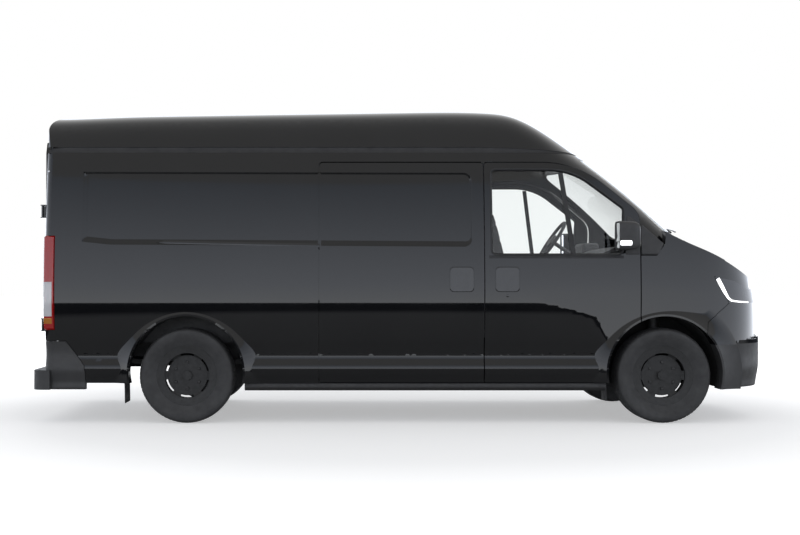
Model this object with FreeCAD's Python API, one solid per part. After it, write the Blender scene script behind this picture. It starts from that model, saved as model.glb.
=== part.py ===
"""Panel van with a high roof, built as separate pieces in millimetres.

+X is the way the van drives, +Y its left side and +Z up.  The origin is on the ground under the
middle of the van's outline, and the tyres stand on z = 0.  Distances called "from the rear axle"
are measured forward from the rear axle's middle.
"""
import FreeCAD, Part
import math
import os

V = FreeCAD.Vector
PARTS = "parts"
os.makedirs(PARTS, exist_ok=True)

# Overall sizes
wheelbase = 3570.0
front_overhang = 905.0
rear_overhang = 1150.0
roof_height = 2395.0
body_half_width = 1012.0
track = 1720.0
overall_length = wheelbase + front_overhang + rear_overhang
rear_axle_x = rear_overhang - overall_length / 2
front_axle_x = rear_axle_x + wheelbase
nose_x = front_axle_x + front_overhang

# Clearances: seams between panels, seats inside one body, pins, and the reach of every cut
shut_gap = 8.0
seat_gap = 0.3
pin_gap = 0.05
overrun = 60.0

# How many points draw the body's curves and surfaces
low_levels = 6
middle_levels = 5
high_levels = 7
roof_levels = 5
nose_columns = 17
nose_fineness = 24
canopy_roof_rows = 7
canopy_screen_rows = 19
canopy_columns = 27
canopy_fineness = 360
hood_rows = 13
hood_columns = 9

# Tyres and wheels
tyre_diameter = 712.0
tyre_width = 235.0
tread_width = 196.0
tyre_shoulder = 26.0
rim_width = 168.0
rim_lip_radius = 228.0
rim_wall = 12.0
rim_well = 48.0
rim_lip_width = 9.0
rim_seat_radius = 205.0
tyre_wall = 16.0
wheel_disc_thickness = 14.0
wheel_disc_inset = 26.0
wheel_face_radius = 150.0
wheel_face_dish = 30.0
slot_ring_radius = 160.0
slot_height = 17.0
slot_half_angle = 18.0
slot_count = 6
wheel_cap_radius = 34.0
hub_radius = 70.0
hub_length = 60.0
spindle_radius = 30.0
disc_radius = 145.0
disc_thickness = 26.0
axle_z = tyre_diameter / 2
wheel_y = track / 2
steer_inset = 75.0

# Body side: half width by height
shoulder_z = 909.0
gutter_z = 2030.0
gutter_height = 45.0
gutter_depth = 16.0
tumblehome = 107.0
tumblehome_power = 1.8
undercut = 50.0
undercut_height = 410.0
undercut_power = 1.6
flare_z = 395.0
flare_height = 125.0
flare_out = 45.0
sill_bottom_z = 244.0
side_wall = 60.0

# Seams along the body, from the rear axle
slide_rear = 991.0
slide_front = 2226.0
door_front = 3390.0
door_top_z = 1958.0
door_bottom_z = 302.0
slide_door_wall = 42.0
door_skin = 12.0
door_wall = 100.0
door_frame_wall = 46.0
door_step = 20.0
belt_z = 1258.0
flange_reach = 26.0

seam_corner = 12.0
seam_round = 26.0
door_bend = 2924.0
door_bend_radius = 700.0
door_shoulder_z = 1577.0
door_shoulder_radius = 150.0
pillar_length = 90.0
glass_depth = 18.0

# Wheel arches and their raised lips
arch_radius = 425.0
arch_z = 378.0
lip_crest = 15.0
lip_foot = 87.0
lip_reach = 165.0
lip_y = 1020.0
lip_foot_y = 975.0
lip_reach_y = 955.0
lip_hollow_share = 0.45
wheelhouse_wall = 8.0
wheelhouse_inner_y = 540.0
bumper_back = 3800.0

# Blind window recess over the rear quarter and the sliding door, from the rear axle
recess_rear = -776.0
recess_front = 2134.0
recess_top = 1885.0
recess_bottom = 1330.0
recess_chamfer = 205.0
recess_corner = 60.0
recess_depth = 14.0

recess_rise = 28.0

# Cups behind the door handles, from the rear axle
slide_handle = 2056.0
door_handle = 2396.0
handle_z = 1077.0
handle_width = 182.0
handle_height = 187.0
handle_round = 30.0
handle_depth = 30.0

# Nose in plan: a superellipse from the front doors to the nose
taper_power = 2.4
taper_root = 3.615
nose_z = 530.0
nose_rake = 57.0
nose_rake_height = 466.0
nose_rake_power = 1.6
nose_undercut = 20.0
nose_undercut_height = 230.0
fender_wall = 8.0
nose_wall = 26.0

plate_foot = 3509.0
plate_tip = 3571.0
plate_tip_z = 1342.0

# Hood: its centre line from the rear axle, its crown and its outline
hood_rear = 3838.0
hood_bow = 184.0
hood_pin_y = 820.0
hood_pin_back = 18.0
hood_eye_radius = 11.0
hood_eye_length = 44.0
hood_strap = 60.0
hood_front_z = 1012.0
hood_side_share = 0.915
hood_crown = 78.0
hood_wall = 24.0
hood_line_shares = [
    (0.586667, 0.672234), (0.632889, 0.632568), (0.667556, 0.593737), (0.683556, 0.577871),
    (0.717333, 0.540292), (0.751111, 0.493528), (0.773689, 0.455950), (0.785778, 0.426722),
    (0.800000, 0.388309),
]

# Canopy: roof, windscreen and pillars are one surface over this centre line
canopy_depth = 900.0
canopy_power_y = 5.0
canopy_power_z = 9.0
windscreen_bow = 120.0
windscreen_bow_start = 2300.0
windscreen_bow_run = 800.0
roof_wall = 34.0
roof_rear_radius = 125.0
rear_corner_radius = 62.0
corner_slack = 3.0
roof_rear = -1062.0
gutter_bend = 2217.0
gutter_end = 3000.0
cab_front = 3940.0
canopy_line_shares = [
    (-0.209778, 0.976618), (0.000000, 0.988727), (0.213333, 0.996242), (0.367467, 1.000000),
    (0.408711, 0.997077), (0.438578, 0.987056), (0.462222, 0.967432), (0.507022, 0.908977),
    (0.552000, 0.835073), (0.596978, 0.752401), (0.664178, 0.615031), (0.694933, 0.551983),
]

# Windscreen and cowl
glass_wall = 6.0
glass_sink = 3.0
glass_top_z = 2000.0
glass_top_half = 770.0
glass_bottom_z = 1440.0
glass_bottom_half = 860.0
glass_corner = 70.0
cowl_drop = 90.0
cowl_half = 880.0

# Front door window, from the rear axle
window_rear = 2275.0
window_top_z = 1908.0
window_front = 3275.0
window_front_z = 1612.0
window_rake = 15.0
window_bend = 2885.0
window_bend_radius = 500.0
window_corner = 38.0

# Floor, frame and engine
floor_z = 640.0
floor_wall = 46.0
floor_groove = 4.0
sill_depth = 112.0
sill_inset = 14.0
sill_wall = 18.0
rear_wheelhouse_y = 690.0
rack_middle = 1300.0
rack_spacing = 1200.0
rack_hole_radius = 5.5
firewall = 3600.0
scuttle_z = 1300.0
scuttle_front = 3752.0
pillar_foot_y = 975.0
wheelhouse_drop = 110.0
hood_lug_wall = 10.0
hood_lug_radius = 9.0
hood_lug_drop = 46.0
firewall_wall = 14.0
pillar_rear = 3418.0
pillar_front = 3540.0
pillar_inner_y = 840.0
pillar_outer_y = 896.0
bpillar_rear = 2182.0
bpillar_front = 2242.0
bpillar_depth = 120.0
bulkhead_wall = 24.0
rail_y = 430.0
rail_width = 64.0
rail_height = 118.0
rail_rear = -1040.0
rail_front = 4300.0
cross_shares = [0.0150, 0.0899, 0.3146, 0.5131, 0.7004, 0.9775]
cross_places = [rail_rear + share * (rail_front - rail_rear) for share in cross_shares]
cross_width = 70.0
engine_rear = 3640.0
engine_front = 4120.0
engine_half = 270.0
engine_bottom = 400.0
engine_top = 1010.0
engine_mount = 3840.0

# Front door hinges
hinge_ahead = 70.0
hinge_y = 972.0
hinge_pin_radius = 6.0
hinge_eye_radius = 10.5
hinge_height = 42.0
hinge_arm_low = 56.0
hinge_arm_wall = 8.0
hinge_lug_wall = 8.0
hinge_shares = [0.349, 0.530]
hinge_places = [door_bottom_z + share * (door_top_z - door_bottom_z) for share in hinge_shares]
pin_side_gap = 0.3

# Rear doors and their outside hinges, from the rear axle
rear_door_face = -1075.0
rear_door_wall = 58.0
rear_door_half = 856.0
rear_door_top_z = 2118.0
rear_door_bottom_z = 628.0
rear_hinge_x = -1097.0
rear_hinge_y = 872.0
rear_hinge_shares = [0.0725, 0.6456]
rear_strap_length = 118.0
rear_pillar_half = 864.0
rear_door_round = 60.0
rear_door_lean = 40.0
rear_recess_edge = 110.0
rear_lug_reach = 26.0
rear_lug_inner = 4.0

rear_hinge_places = [rear_door_bottom_z + share * (rear_door_top_z - rear_door_bottom_z)
                     for share in rear_hinge_shares]

# Rear bumper and tail lamps
bumper_rear = -1150.0
bumper_step_z = 400.0
bumper_top_z = 614.0
bumper_bottom_z = 254.0
bumper_wall = 48.0
bumper_tread = 40.0
bumper_corner_wall = 60.0
bumper_half = 1002.0
bumper_front = -757.0
bumper_top_front = -900.0
bumper_waist_front = -765.0
bumper_waist_z = 433.0
bumper_radius = 90.0
lamp_bottom_z = 700.0
lamp_top_z = 1404.0
lamp_side_length = 83.0
lamp_rear_width = 62.0
lamp_depth = 34.0

# Front lamps, fascia, grille and lower bumper, from the rear axle
headlamp_rear = 3964.0
headlamp_low_rear = 4086.0
headlamp_bottom_z = 899.0
headlamp_top_z = 1096.0
headlamp_inner_y = 560.0
headlamp_middle = 4137.0
headlamp_middle_z = 1066.0
headlamp_front = 4266.0
bumper_seam_rear = 3900.0
bumper_seam_z = 756.0
lower_top_z = 590.0
lower_bottom_z = 258.0
grille_bottom_z = 690.0
grille_half = 552.0
grille_taper = 60.0
intake_half = 420.0
intake_top_z = 520.0
intake_bottom_z = 372.0
intake_round = 24.0
grille_bar_height = 26.0
grille_bar_gap = 34.0

# Mirrors
mirror_out = 215.0
mirror_stand = 45.0
mirror_round = 30.0
mirror_arm_low = 40.0
mirror_arm_height = 70.0
mirror_arm_rear = 3290.0
mirror_arm_front = 3345.0
mirror_rear = 3180.0
mirror_depth = 170.0
mirror_bottom_z = 1290.0
mirror_height = 215.0
mirror_inner_y = 1010.0

# Cab inside
dash_rear = 3140.0
dash_round = 60.0
dash_half = pillar_inner_y - overrun - seat_gap
binnacle_half = 190.0
binnacle_length = 200.0
binnacle_height = 60.0
dash_top_z = 1330.0
dash_bottom_z = 1010.0
seat_y = 430.0
seat_front = 2820.0
seat_length = 480.0
seat_width = 480.0
bench_width = 820.0
bench_y = -300.0
cushion_top_z = 1035.0
back_height = 640.0
back_wall = 130.0
back_lean = 14.0
head_width = 260.0
head_height = 180.0
head_wall = 90.0
plinth_height = 264.0
seat_round = 40.0
steering_x = 2970.0
steering_z = 1409.0
steering_y = 430.0
steering_radius = 190.0
steering_grip = 14.0
steering_tilt = 34.0
steering_hub_radius = 62.0
spoke_width = 46.0
spoke_share = 0.6
column_radius = 17.0
column_length = 300.0

# Axles and suspension
axle_tube_radius = 48.0
differential_radius = 150.0
spring_y = 560.0
spring_width = 64.0
spring_wall = 34.0
spring_span = 1180.0
arm_width = 64.0
arm_wall = 22.0
arm_low_z = 232.0
arm_high_z = 470.0
subframe_width = 240.0
subframe_top_z = 330.0
strut_room = 130.0
strut_y = 628.0
strut_radius = 46.0
kingpin_radius = 12.0
knuckle_width = 62.0
knuckle_arm = 150.0
knuckle_bore = 40.0
rear_tube_half = 700.0
axle_half_length = 880.0


def along(distance):
    """Place on the X axis of something measured forward from the rear axle."""
    return rear_axle_x + distance


def smooth_line(points):
    """Natural cubic spline through (x, y) points, as a function of x."""
    xs = [p[0] for p in points]
    ys = [p[1] for p in points]
    last = len(xs) - 1
    step = [xs[i + 1] - xs[i] for i in range(last)]
    bend = [0.0] * (last + 1)
    upper = [0.0] * (last + 1)
    for i in range(1, last):
        pull = 6 * ((ys[i + 1] - ys[i]) / step[i] - (ys[i] - ys[i - 1]) / step[i - 1])
        pivot = 2 * (step[i - 1] + step[i]) - step[i - 1] * upper[i - 1]
        upper[i] = step[i] / pivot
        bend[i] = (pull - step[i - 1] * bend[i - 1]) / pivot
    for i in range(last - 1, 0, -1):
        bend[i] -= upper[i] * bend[i + 1]

    def value(x):
        i = 0
        while i < last - 1 and x > xs[i + 1]:
            i += 1
        a = (xs[i + 1] - x) / step[i]
        b = 1 - a
        curve = ((a ** 3 - a) * bend[i] + (b ** 3 - b) * bend[i + 1]) * step[i] ** 2 / 6
        return a * ys[i] + b * ys[i + 1] + curve

    return value


def line_from(shares):
    """Centre line from shares of the van's length, from the rear axle, and of its height."""
    return smooth_line([(along(a * overall_length), b * roof_height) for a, b in shares])


canopy_line = line_from(canopy_line_shares)
hood_line = line_from(hood_line_shares)


def ease(t):
    """0 below 0, 1 above 1 and smooth between."""
    t = min(max(t, 0.0), 1.0)
    return t * t * (3 - 2 * t)


def nose_at(z):
    """Where the nose's centre line lies at a height."""
    if z >= nose_z:
        return nose_x - nose_rake * ((z - nose_z) / nose_rake_height) ** nose_rake_power
    return nose_x - nose_undercut * ((nose_z - z) / nose_undercut_height) ** 2


def section_half_width(z):
    """Half width of the straight part of the body at a height."""
    if z >= shoulder_z:
        rise = (z - shoulder_z) / (gutter_z - shoulder_z)
        return body_half_width - tumblehome * rise ** tumblehome_power
    drop = (shoulder_z - z) / undercut_height
    width = body_half_width - undercut * drop ** undercut_power
    width += flare_out * ease((flare_z + flare_height - z) / flare_height)
    return width


def taper(x, z):
    """Share of the half width that is left towards the nose."""
    start = along(door_front)
    if x <= start:
        return 1.0
    reach = min((x - start) / (nose_at(z) - start), 1.0)
    return max(1 - reach ** taper_power, 0.0) ** (1 / taper_root)


def half_width(x, z):
    """Half width of the body's side skin."""
    return section_half_width(z) * taper(x, z)


def spread(low, high, count):
    """Evenly spaced values from low to high."""
    return [low + (high - low) * i / (count - 1) for i in range(count)]


def surface(rows):
    """Smooth face through a grid of points."""
    skin = Part.BSplineSurface()
    skin.interpolate(rows)
    return skin.toShape()


def even_points(line, count):
    """Points of a dense line, picked again at even spacing."""
    reach = [0.0]
    for a, b in zip(line, line[1:]):
        reach.append(reach[-1] + (b - a).Length)
    picked = []
    i = 0
    for k in range(count):
        want = reach[-1] * k / (count - 1)
        while i < len(line) - 2 and reach[i + 1] < want:
            i += 1
        part_way = (want - reach[i]) / (reach[i + 1] - reach[i])
        picked.append(line[i] + (line[i + 1] - line[i]) * part_way)
    return picked


def curve(points):
    """Smooth edge through points."""
    line = Part.BSplineCurve()
    line.interpolate(points)
    return line.toShape()


def rounded_wire(corners, place):
    """Closed outline of (a, b) or (a, b, radius) corners, as lines and arcs."""
    spots = [place(c[0], c[1]) for c in corners]
    radii = [c[2] if len(c) > 2 else 0.0 for c in corners]
    starts, ends, arcs = [], [], []
    for i, spot in enumerate(spots):
        back = (spots[i - 1] - spot).normalize()
        ahead = (spots[(i + 1) % len(spots)] - spot).normalize()
        half = math.acos(max(-1.0, min(1.0, back.dot(ahead)))) / 2
        cut = radii[i] / math.tan(half)
        starts.append(spot + back * cut)
        ends.append(spot + ahead * cut)
        if radii[i]:
            middle = spot + (back + ahead).normalize() * (radii[i] / math.sin(half) - radii[i])
            arcs.append(Part.Arc(starts[i], middle, ends[i]).toShape())
        else:
            arcs.append(None)
    edges = []
    for i in range(len(spots)):
        if arcs[i]:
            edges.append(arcs[i])
        after = (i + 1) % len(spots)
        edges.append(Part.makeLine(ends[i], starts[after]))
    return Part.Wire(edges)


def prism(corners, low, high, axis, grow=0.0):
    """Solid of a rounded outline along one axis.  Corners give the other two coordinates."""
    place = {
        "x": lambda a, b: V(low, a, b),
        "y": lambda a, b: V(a, low, b),
        "z": lambda a, b: V(a, b, low),
    }[axis]
    span = high - low
    reach = {"x": V(span, 0, 0), "y": V(0, span, 0), "z": V(0, 0, span)}[axis]
    wire = rounded_wire(corners, place)
    if grow:
        wire = wire.makeOffset2D(grow)
    return Part.Face(wire).extrude(reach)


def side_prism(corners, grow=0.0, inner=0.0):
    """Prism through the right side of the body; corners are (from the rear axle, z, radius)."""
    moved = [(along(c[0]),) + tuple(c[1:]) for c in corners]
    return prism(moved, -body_half_width - 2 * overrun, -inner, "y", grow)


def box(low, high):
    """Box between two corners."""
    size = high - low
    return Part.makeBox(size.x, size.y, size.z, low)


def both_sides_box(rear, front, inner, outer, low, high):
    """Box on the right side from the rear axle's distances, |y| and z."""
    return box(V(along(rear), -outer, low), V(along(front), -inner, high))


def rod(radius, start, end):
    """Round bar between two points."""
    return Part.makeCylinder(radius, (end - start).Length, start, end - start)


def join(shapes):
    """One solid from pieces that touch or overlap."""
    whole = shapes[0].fuse(shapes[1:]) if len(shapes) > 1 else shapes[0]
    return whole.removeSplitter()


def across(shape):
    """The same shape on the van's other side."""
    return shape.mirror(V(0, 0, 0), V(0, 1, 0))


def one_solid(shape):
    """The solid inside a compound that holds just one."""
    return shape.Solids[0] if len(shape.Solids) == 1 else shape


def export(name, shape):
    """Write one node and print what it holds."""
    shape = one_solid(shape)
    shape.exportStep(os.path.join(PARTS, name + ".step"))
    print(name, len(shape.Solids), round(shape.Volume / 1e6, 2), shape.isValid())


def side_plan(z, inset, slack=0.0):
    """Plan of the right half behind the nose, with its rounded rear corner."""
    wide = section_half_width(z) - inset + slack
    rear = along(roof_rear) + inset
    front = along(door_front)
    radius = rear_corner_radius + slack
    turn = radius * (1 - math.sqrt(0.5))
    corners = [V(rear, 0, z), V(rear, -wide + radius, z), V(rear + turn, -wide + turn, z),
               V(rear + radius, -wide, z), V(front, -wide, z), V(front, 0, z)]
    return Part.Wire([
        Part.makeLine(corners[0], corners[1]),
        Part.Arc(corners[1], corners[2], corners[3]).toShape(),
        Part.makeLine(corners[3], corners[4]),
        Part.makeLine(corners[4], corners[5]),
        Part.makeLine(corners[5], corners[0]),
    ])


def nose_points(z, inset, width_share=1.0, grow=0.0):
    """Plan of the nose's right half, from the front door to the middle."""
    start = along(door_front)
    reach = nose_at(z) - inset + grow - start
    wide = section_half_width(z) * width_share - inset + grow
    line = []
    fine = nose_columns * nose_fineness
    for i in range(fine + 1):
        turn = math.pi / 2 * (1 - i / fine)
        x = start + reach * max(math.cos(turn), 0.0) ** (2 / taper_power)
        y = -wide * abs(math.sin(turn)) ** (2 / taper_root)
        line.append(V(x, y, z))
    return even_points(line, nose_columns)


def nose_plan(z, inset):
    """Closed plan of the nose's right half."""
    points = nose_points(z, inset)
    corner = V(points[0].x, 0, z)
    return Part.Wire([
        curve(points),
        Part.makeLine(points[-1], corner),
        Part.makeLine(corner, points[0]),
    ])


def lip(wheel_x, inset):
    """Raised lip round a wheel arch on the right side."""
    def spot(radius, y):
        return V(wheel_x, inset - y, arch_z + radius)

    inside = spot(arch_radius - overrun, lip_reach_y - overrun)
    middle_y = lip_foot_y + lip_hollow_share * (lip_y - lip_foot_y)
    crest = [spot(arch_radius + lip_crest, lip_y),
             spot(arch_radius + (lip_crest + lip_foot) / 2, middle_y),
             spot(arch_radius + lip_foot, lip_foot_y),
             spot(arch_radius + lip_reach, lip_reach_y)]
    edge = spot(arch_radius - overrun, lip_y)
    foot = spot(arch_radius + lip_reach, lip_reach_y - overrun)
    outline = Part.Wire([
        Part.makeLine(inside, edge),
        Part.makeLine(edge, crest[0]),
        curve(crest),
        Part.makeLine(crest[-1], foot),
        Part.makeLine(foot, inside),
    ])
    ring = Part.Face(outline).revolve(V(wheel_x, 0, arch_z), V(0, 1, 0), 360)
    size = lip_reach + arch_radius + overrun
    window = box(V(wheel_x - size, -lip_y - overrun, sill_bottom_z),
                 V(wheel_x + size, 0, arch_z + size))
    return ring.common(window)


blocks = {}


def section_levels(top):
    """Heights at which the body's plan is drawn."""
    low = spread(sill_bottom_z, flare_z + flare_height, low_levels)
    middle = spread(flare_z + flare_height, shoulder_z, middle_levels)[1:]
    high = spread(shoulder_z, top, high_levels)[1:]
    return low + middle + high


def side_block(inset):
    """Solid of the right half behind the nose, its skin drawn in by a wall."""
    key = ("side", inset)
    if key not in blocks:
        levels = section_levels(roof_height)
        blocks[key] = Part.makeLoft([side_plan(z, inset) for z in levels], True)
    return blocks[key]


def nose_block(inset):
    """Solid of the nose's right half, its skin drawn in by a wall."""
    key = ("nose", inset)
    if key not in blocks:
        levels = section_levels(gutter_z)
        blocks[key] = Part.makeLoft([nose_plan(z, inset) for z in levels], True)
    return blocks[key]


def lipped(region, block, wheel_x, inset=0.0):
    """What a region holds of a block and of the lip round a wheel arch."""
    return region.common(block).fuse(region.common(lip(wheel_x, inset)))


def canopy_block(inset):
    """Solid under the roof, windscreen and pillars, drawn in by a wall."""
    key = ("canopy", inset)
    if key not in blocks:
        rows = []
        roof = spread(roof_rear - overrun, windscreen_bow_start - overrun, canopy_roof_rows)
        for d in roof + spread(windscreen_bow_start, cab_front, canopy_screen_rows):
            x = along(d)
            top = canopy_line(x) - inset
            bow = windscreen_bow * ease((d - windscreen_bow_start) / windscreen_bow_run)
            section = []
            for i in range(canopy_fineness + 1):
                turn = math.pi * (i / canopy_fineness - 0.5)
                side = abs(math.sin(turn)) ** (2 / canopy_power_y)
                rise = max(math.cos(turn), 0.0) ** (2 / canopy_power_z)
                z = top - canopy_depth * (1 - rise)
                wide = half_width(x, z) - inset
                section.append(V(x - bow * side * side, math.copysign(side * wide, turn), z))
            rows.append(even_points(section, canopy_columns))
        blocks[key] = surface(rows).extrude(V(0, 0, -roof_height))
    return blocks[key]


def roof_profile(inset):
    """Side profile of the roof with its rounded rear top, and the rear corners in plan."""
    rear = roof_rear + inset
    low = gutter_z - overrun
    high = roof_height + overrun
    top = canopy_line(along(roof_rear + roof_rear_radius)) - inset
    side = prism([(along(rear), low), (along(rear), top, roof_rear_radius - inset),
                  (along(roof_rear + 2 * roof_rear_radius), canopy_line(along(rear)) - inset + seat_gap),
                  (along(0), high), (along(cab_front), high), (along(cab_front), low)],
                 -body_half_width - overrun, body_half_width + overrun, "y")
    levels = spread(low, high, roof_levels)
    plan = Part.makeLoft([side_plan(z, inset, corner_slack) for z in levels], True)
    ahead = box(V(along(slide_rear), -body_half_width - overrun, low),
                V(along(cab_front), body_half_width + overrun, high))
    return side.common(ahead.fuse([plan, across(plan)]))


def hood_block(inset):
    """Solid under the hood's crowned surface."""
    key = ("hood", inset)
    if key not in blocks:
        first = hood_line_shares[0][0] * overall_length
        last = hood_line_shares[-1][0] * overall_length
        wide = body_half_width + overrun
        rows = []
        for d in spread(first, last, hood_rows):
            x = along(d)
            rows.append([V(x, y, hood_line(x) - hood_crown * (y / body_half_width) ** 2 - inset)
                         for y in spread(-wide, wide, hood_columns)])
        blocks[key] = surface(rows).extrude(V(0, 0, -roof_height))
    return blocks[key]


# Outlines on the body's side, from the rear axle
slide_outline = [
    (slide_rear, door_bottom_z, seam_corner), (slide_rear, door_top_z, seam_round),
    (slide_front, door_top_z, seam_round), (slide_front, door_bottom_z, seam_corner),
]
door_outline = [
    (slide_front, door_bottom_z, seam_corner), (slide_front, door_top_z, seam_round),
    (door_bend, door_top_z, door_bend_radius), (door_front, door_shoulder_z, door_shoulder_radius),
    (door_front, door_bottom_z, seam_corner),
]
window_outline = [
    (window_rear, belt_z, window_corner), (window_rear, window_top_z, window_corner),
    (window_bend, window_top_z, window_bend_radius), (window_front, window_front_z, window_corner),
    (window_front - window_rake, belt_z, window_corner),
]
recess_outline = [
    (recess_rear, recess_bottom + recess_rise), (recess_rear, recess_top),
    (recess_front, recess_top - recess_rise / 4, recess_corner),
    (recess_front, recess_bottom - recess_rise / 3, recess_corner),
    (recess_rear + recess_chamfer, recess_bottom + recess_rise / 4),
]
bumper_outline = [
    (roof_rear - overrun, bumper_top_z), (bumper_top_front, bumper_top_z),
    (bumper_waist_front, bumper_waist_z), (bumper_front, bumper_waist_z - overrun),
    (bumper_front, bumper_bottom_z), (roof_rear - overrun, bumper_bottom_z),
]
bumper_below = [
    (roof_rear - overrun, bumper_bottom_z + overrun), (bumper_front, bumper_bottom_z + overrun),
    (bumper_front, bumper_bottom_z - overrun), (roof_rear - overrun, bumper_bottom_z - overrun),
]
fender_outline = [
    (door_front, sill_bottom_z - overrun), (door_front, belt_z), (plate_foot, belt_z),
    (plate_tip, plate_tip_z), (plate_tip + overrun, gutter_z), (cab_front + 2 * overrun, gutter_z),
    (cab_front + 2 * overrun, headlamp_top_z + overrun), (headlamp_rear, headlamp_top_z),
    (headlamp_low_rear, headlamp_bottom_z), (bumper_seam_rear, bumper_seam_z),
    (bumper_seam_rear - 2 * overrun, sill_bottom_z - overrun),
]
far_front = cab_front + nose_x - front_axle_x
headlamp_outline = [
    (headlamp_rear, headlamp_top_z), (headlamp_middle, headlamp_middle_z),
    (headlamp_front, hood_front_z - shut_gap), (far_front, hood_front_z - shut_gap),
    (far_front, headlamp_bottom_z), (headlamp_low_rear, headlamp_bottom_z),
]
seam_slope = 2 * overrun / (bumper_seam_z - sill_bottom_z + overrun)
fascia_outline = [
    (bumper_seam_rear, bumper_seam_z), (headlamp_low_rear, headlamp_bottom_z),
    (far_front, headlamp_bottom_z), (far_front, lower_top_z),
    (bumper_seam_rear - seam_slope * (bumper_seam_z - lower_top_z), lower_top_z),
]


def arch(wheel_x, radius, inner=0.0, outer=body_half_width + overrun):
    """Round of a wheel arch on the right side."""
    return Part.makeCylinder(radius, outer - inner, V(wheel_x, -outer, arch_z), V(0, 1, 0))


def pocket(region, depth):
    """What a region takes out of the side's skin down to a depth."""
    return region.cut(side_block(depth))


def side_panel(opening):
    """Body side behind the cab on the right, with or without the sliding door's opening."""
    half = shut_gap / 2
    rear = roof_rear - overrun
    outline = [(rear, gutter_z), (rear, door_bottom_z), (slide_front, door_bottom_z),
               (slide_front, gutter_z)]
    region = side_prism(outline, 0.0, rear_pillar_half)
    panel = lipped(region, side_block(0.0), rear_axle_x)
    keep = pillar_ring()
    panel = panel.cut(side_block(side_wall).cut(keep))
    panel = panel.cut([side_prism(bumper_outline, half), side_prism(bumper_below, half)])
    panel = panel.cut(arch(rear_axle_x, arch_radius))
    panel = panel.cut(pocket(side_prism(recess_outline), recess_depth))
    if opening:
        panel = panel.cut(pocket(side_prism(slide_outline, half), slide_door_wall + seat_gap))
        panel = panel.cut(side_prism(slide_outline, half - flange_reach))
        panel = panel.cut(side_prism([(slide_rear, door_bottom_z - overrun), (slide_rear,
                          belt_z), (slide_front + overrun, belt_z),
                          (slide_front + overrun, door_bottom_z - overrun)], -flange_reach))
    return panel.cut(lamp_space(seat_gap))


def handle_pocket(middle):
    """Cup behind a door handle, centred at a distance from the rear axle."""
    low = handle_z - handle_height / 2
    high = handle_z + handle_height / 2
    corners = [(middle - handle_width / 2, low), (middle + handle_width / 2, low),
               (middle + handle_width / 2, high), (middle - handle_width / 2, high)]
    outline = [corner + (handle_round,) for corner in corners]
    return pocket(side_prism(outline), handle_depth)


def pillar_ring():
    """Rear corner pillar on the right: how far it reaches inwards and forwards."""
    return both_sides_box(roof_rear - overrun, roof_rear + pillar_length, rear_pillar_half,
                          body_half_width + overrun, sill_bottom_z, roof_height)


def lamp_space(grow):
    """Pocket of the tail lamp in the right rear corner."""
    tall = both_sides_box(roof_rear - overrun, roof_rear + lamp_side_length + grow,
                          body_half_width - lamp_rear_width - grow, body_half_width + overrun,
                          lamp_bottom_z - grow, lamp_top_z + grow)
    return tall.cut(side_block(lamp_depth + grow))


def tail_lamp():
    """Tail lamp wrapped round the right rear corner."""
    return lamp_space(0.0).common(side_block(0.0))


def sliding_door():
    """Sliding door of the right side."""
    region = side_prism(slide_outline, -shut_gap / 2, rear_pillar_half - overrun)
    door = region.common(side_block(0.0)).cut(side_block(slide_door_wall))
    door = door.cut(handle_pocket(slide_handle))
    return door.cut(pocket(side_prism(recess_outline), recess_depth))


def front_door():
    """Right front door: skin, thick lower part, thin window frame, and hinge eyes."""
    half = shut_gap / 2
    region = side_prism(door_outline, -half, rear_pillar_half - 4 * overrun)
    door = lipped(region, side_block(0.0), front_axle_x).cut(side_block(door_wall))
    door = door.cut(arch(front_axle_x, arch_radius))
    step = side_prism(door_outline, overrun).cut(side_prism(door_outline, -half - door_step))
    step = step.fuse(arch(front_axle_x, arch_radius + wheelhouse_wall + shut_gap + door_step))
    door = door.cut(lipped(step, side_block(door_skin), front_axle_x, door_skin))
    upper = both_sides_box(slide_front - overrun, door_front + overrun, 0.0, body_half_width,
                           belt_z, roof_height)
    door = door.cut(upper.common(side_block(door_frame_wall)))
    door = door.cut([side_prism(window_outline), handle_pocket(door_handle)])
    return join([door] + [hinge_eye(z) for z in hinge_places]).cut(hinge_bores())


def hinge_x():
    """Where the front door's hinge pins stand."""
    return along(door_front) - shut_gap / 2 + hinge_ahead


def hinge_eye(z):
    """Eye and cranked arm of one front door hinge."""
    low = z - hinge_height / 2
    pin = V(hinge_x(), -hinge_y, low)
    eye = Part.makeCylinder(hinge_eye_radius, hinge_height, pin)
    inward = box(pin + V(-hinge_arm_wall / 2, 0, 0),
                 pin + V(hinge_arm_wall / 2, hinge_arm_low + hinge_arm_wall, hinge_height))
    back = box(pin + V(-hinge_ahead - door_step - hinge_arm_wall, hinge_arm_low, 0),
               pin + V(hinge_arm_wall / 2, hinge_arm_low + hinge_arm_wall, hinge_height))
    return eye.fuse([inward, back])


def hinge_bores():
    """Holes of the front door's hinge eyes."""
    low = V(hinge_x(), -hinge_y, hinge_places[0] - overrun)
    return Part.makeCylinder(hinge_pin_radius + pin_gap,
                             hinge_places[-1] - hinge_places[0] + 2 * overrun, low)


def hinge_lugs():
    """Lugs and pins on the hinge pillar for the right front door."""
    shapes = []
    x = hinge_x()
    for z in hinge_places:
        top = z + hinge_height / 2 + pin_side_gap
        low = z - hinge_height / 2 - pin_side_gap - hinge_lug_wall
        for level in (low, top):
            shapes.append(box(V(x - hinge_eye_radius, -hinge_y - hinge_eye_radius, level),
                              V(x + hinge_eye_radius, -pillar_outer_y + seat_gap,
                                level + hinge_lug_wall)))
        shapes.append(Part.makeCylinder(hinge_pin_radius, top - low + hinge_lug_wall,
                                        V(x, -hinge_y, low)))
    return shapes


def door_glass():
    """Fixed and sliding panes of the right front door, as one pane."""
    region = side_prism(window_outline, -seat_gap)
    return region.common(side_block(glass_depth)).cut(side_block(glass_depth + glass_wall))


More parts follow.
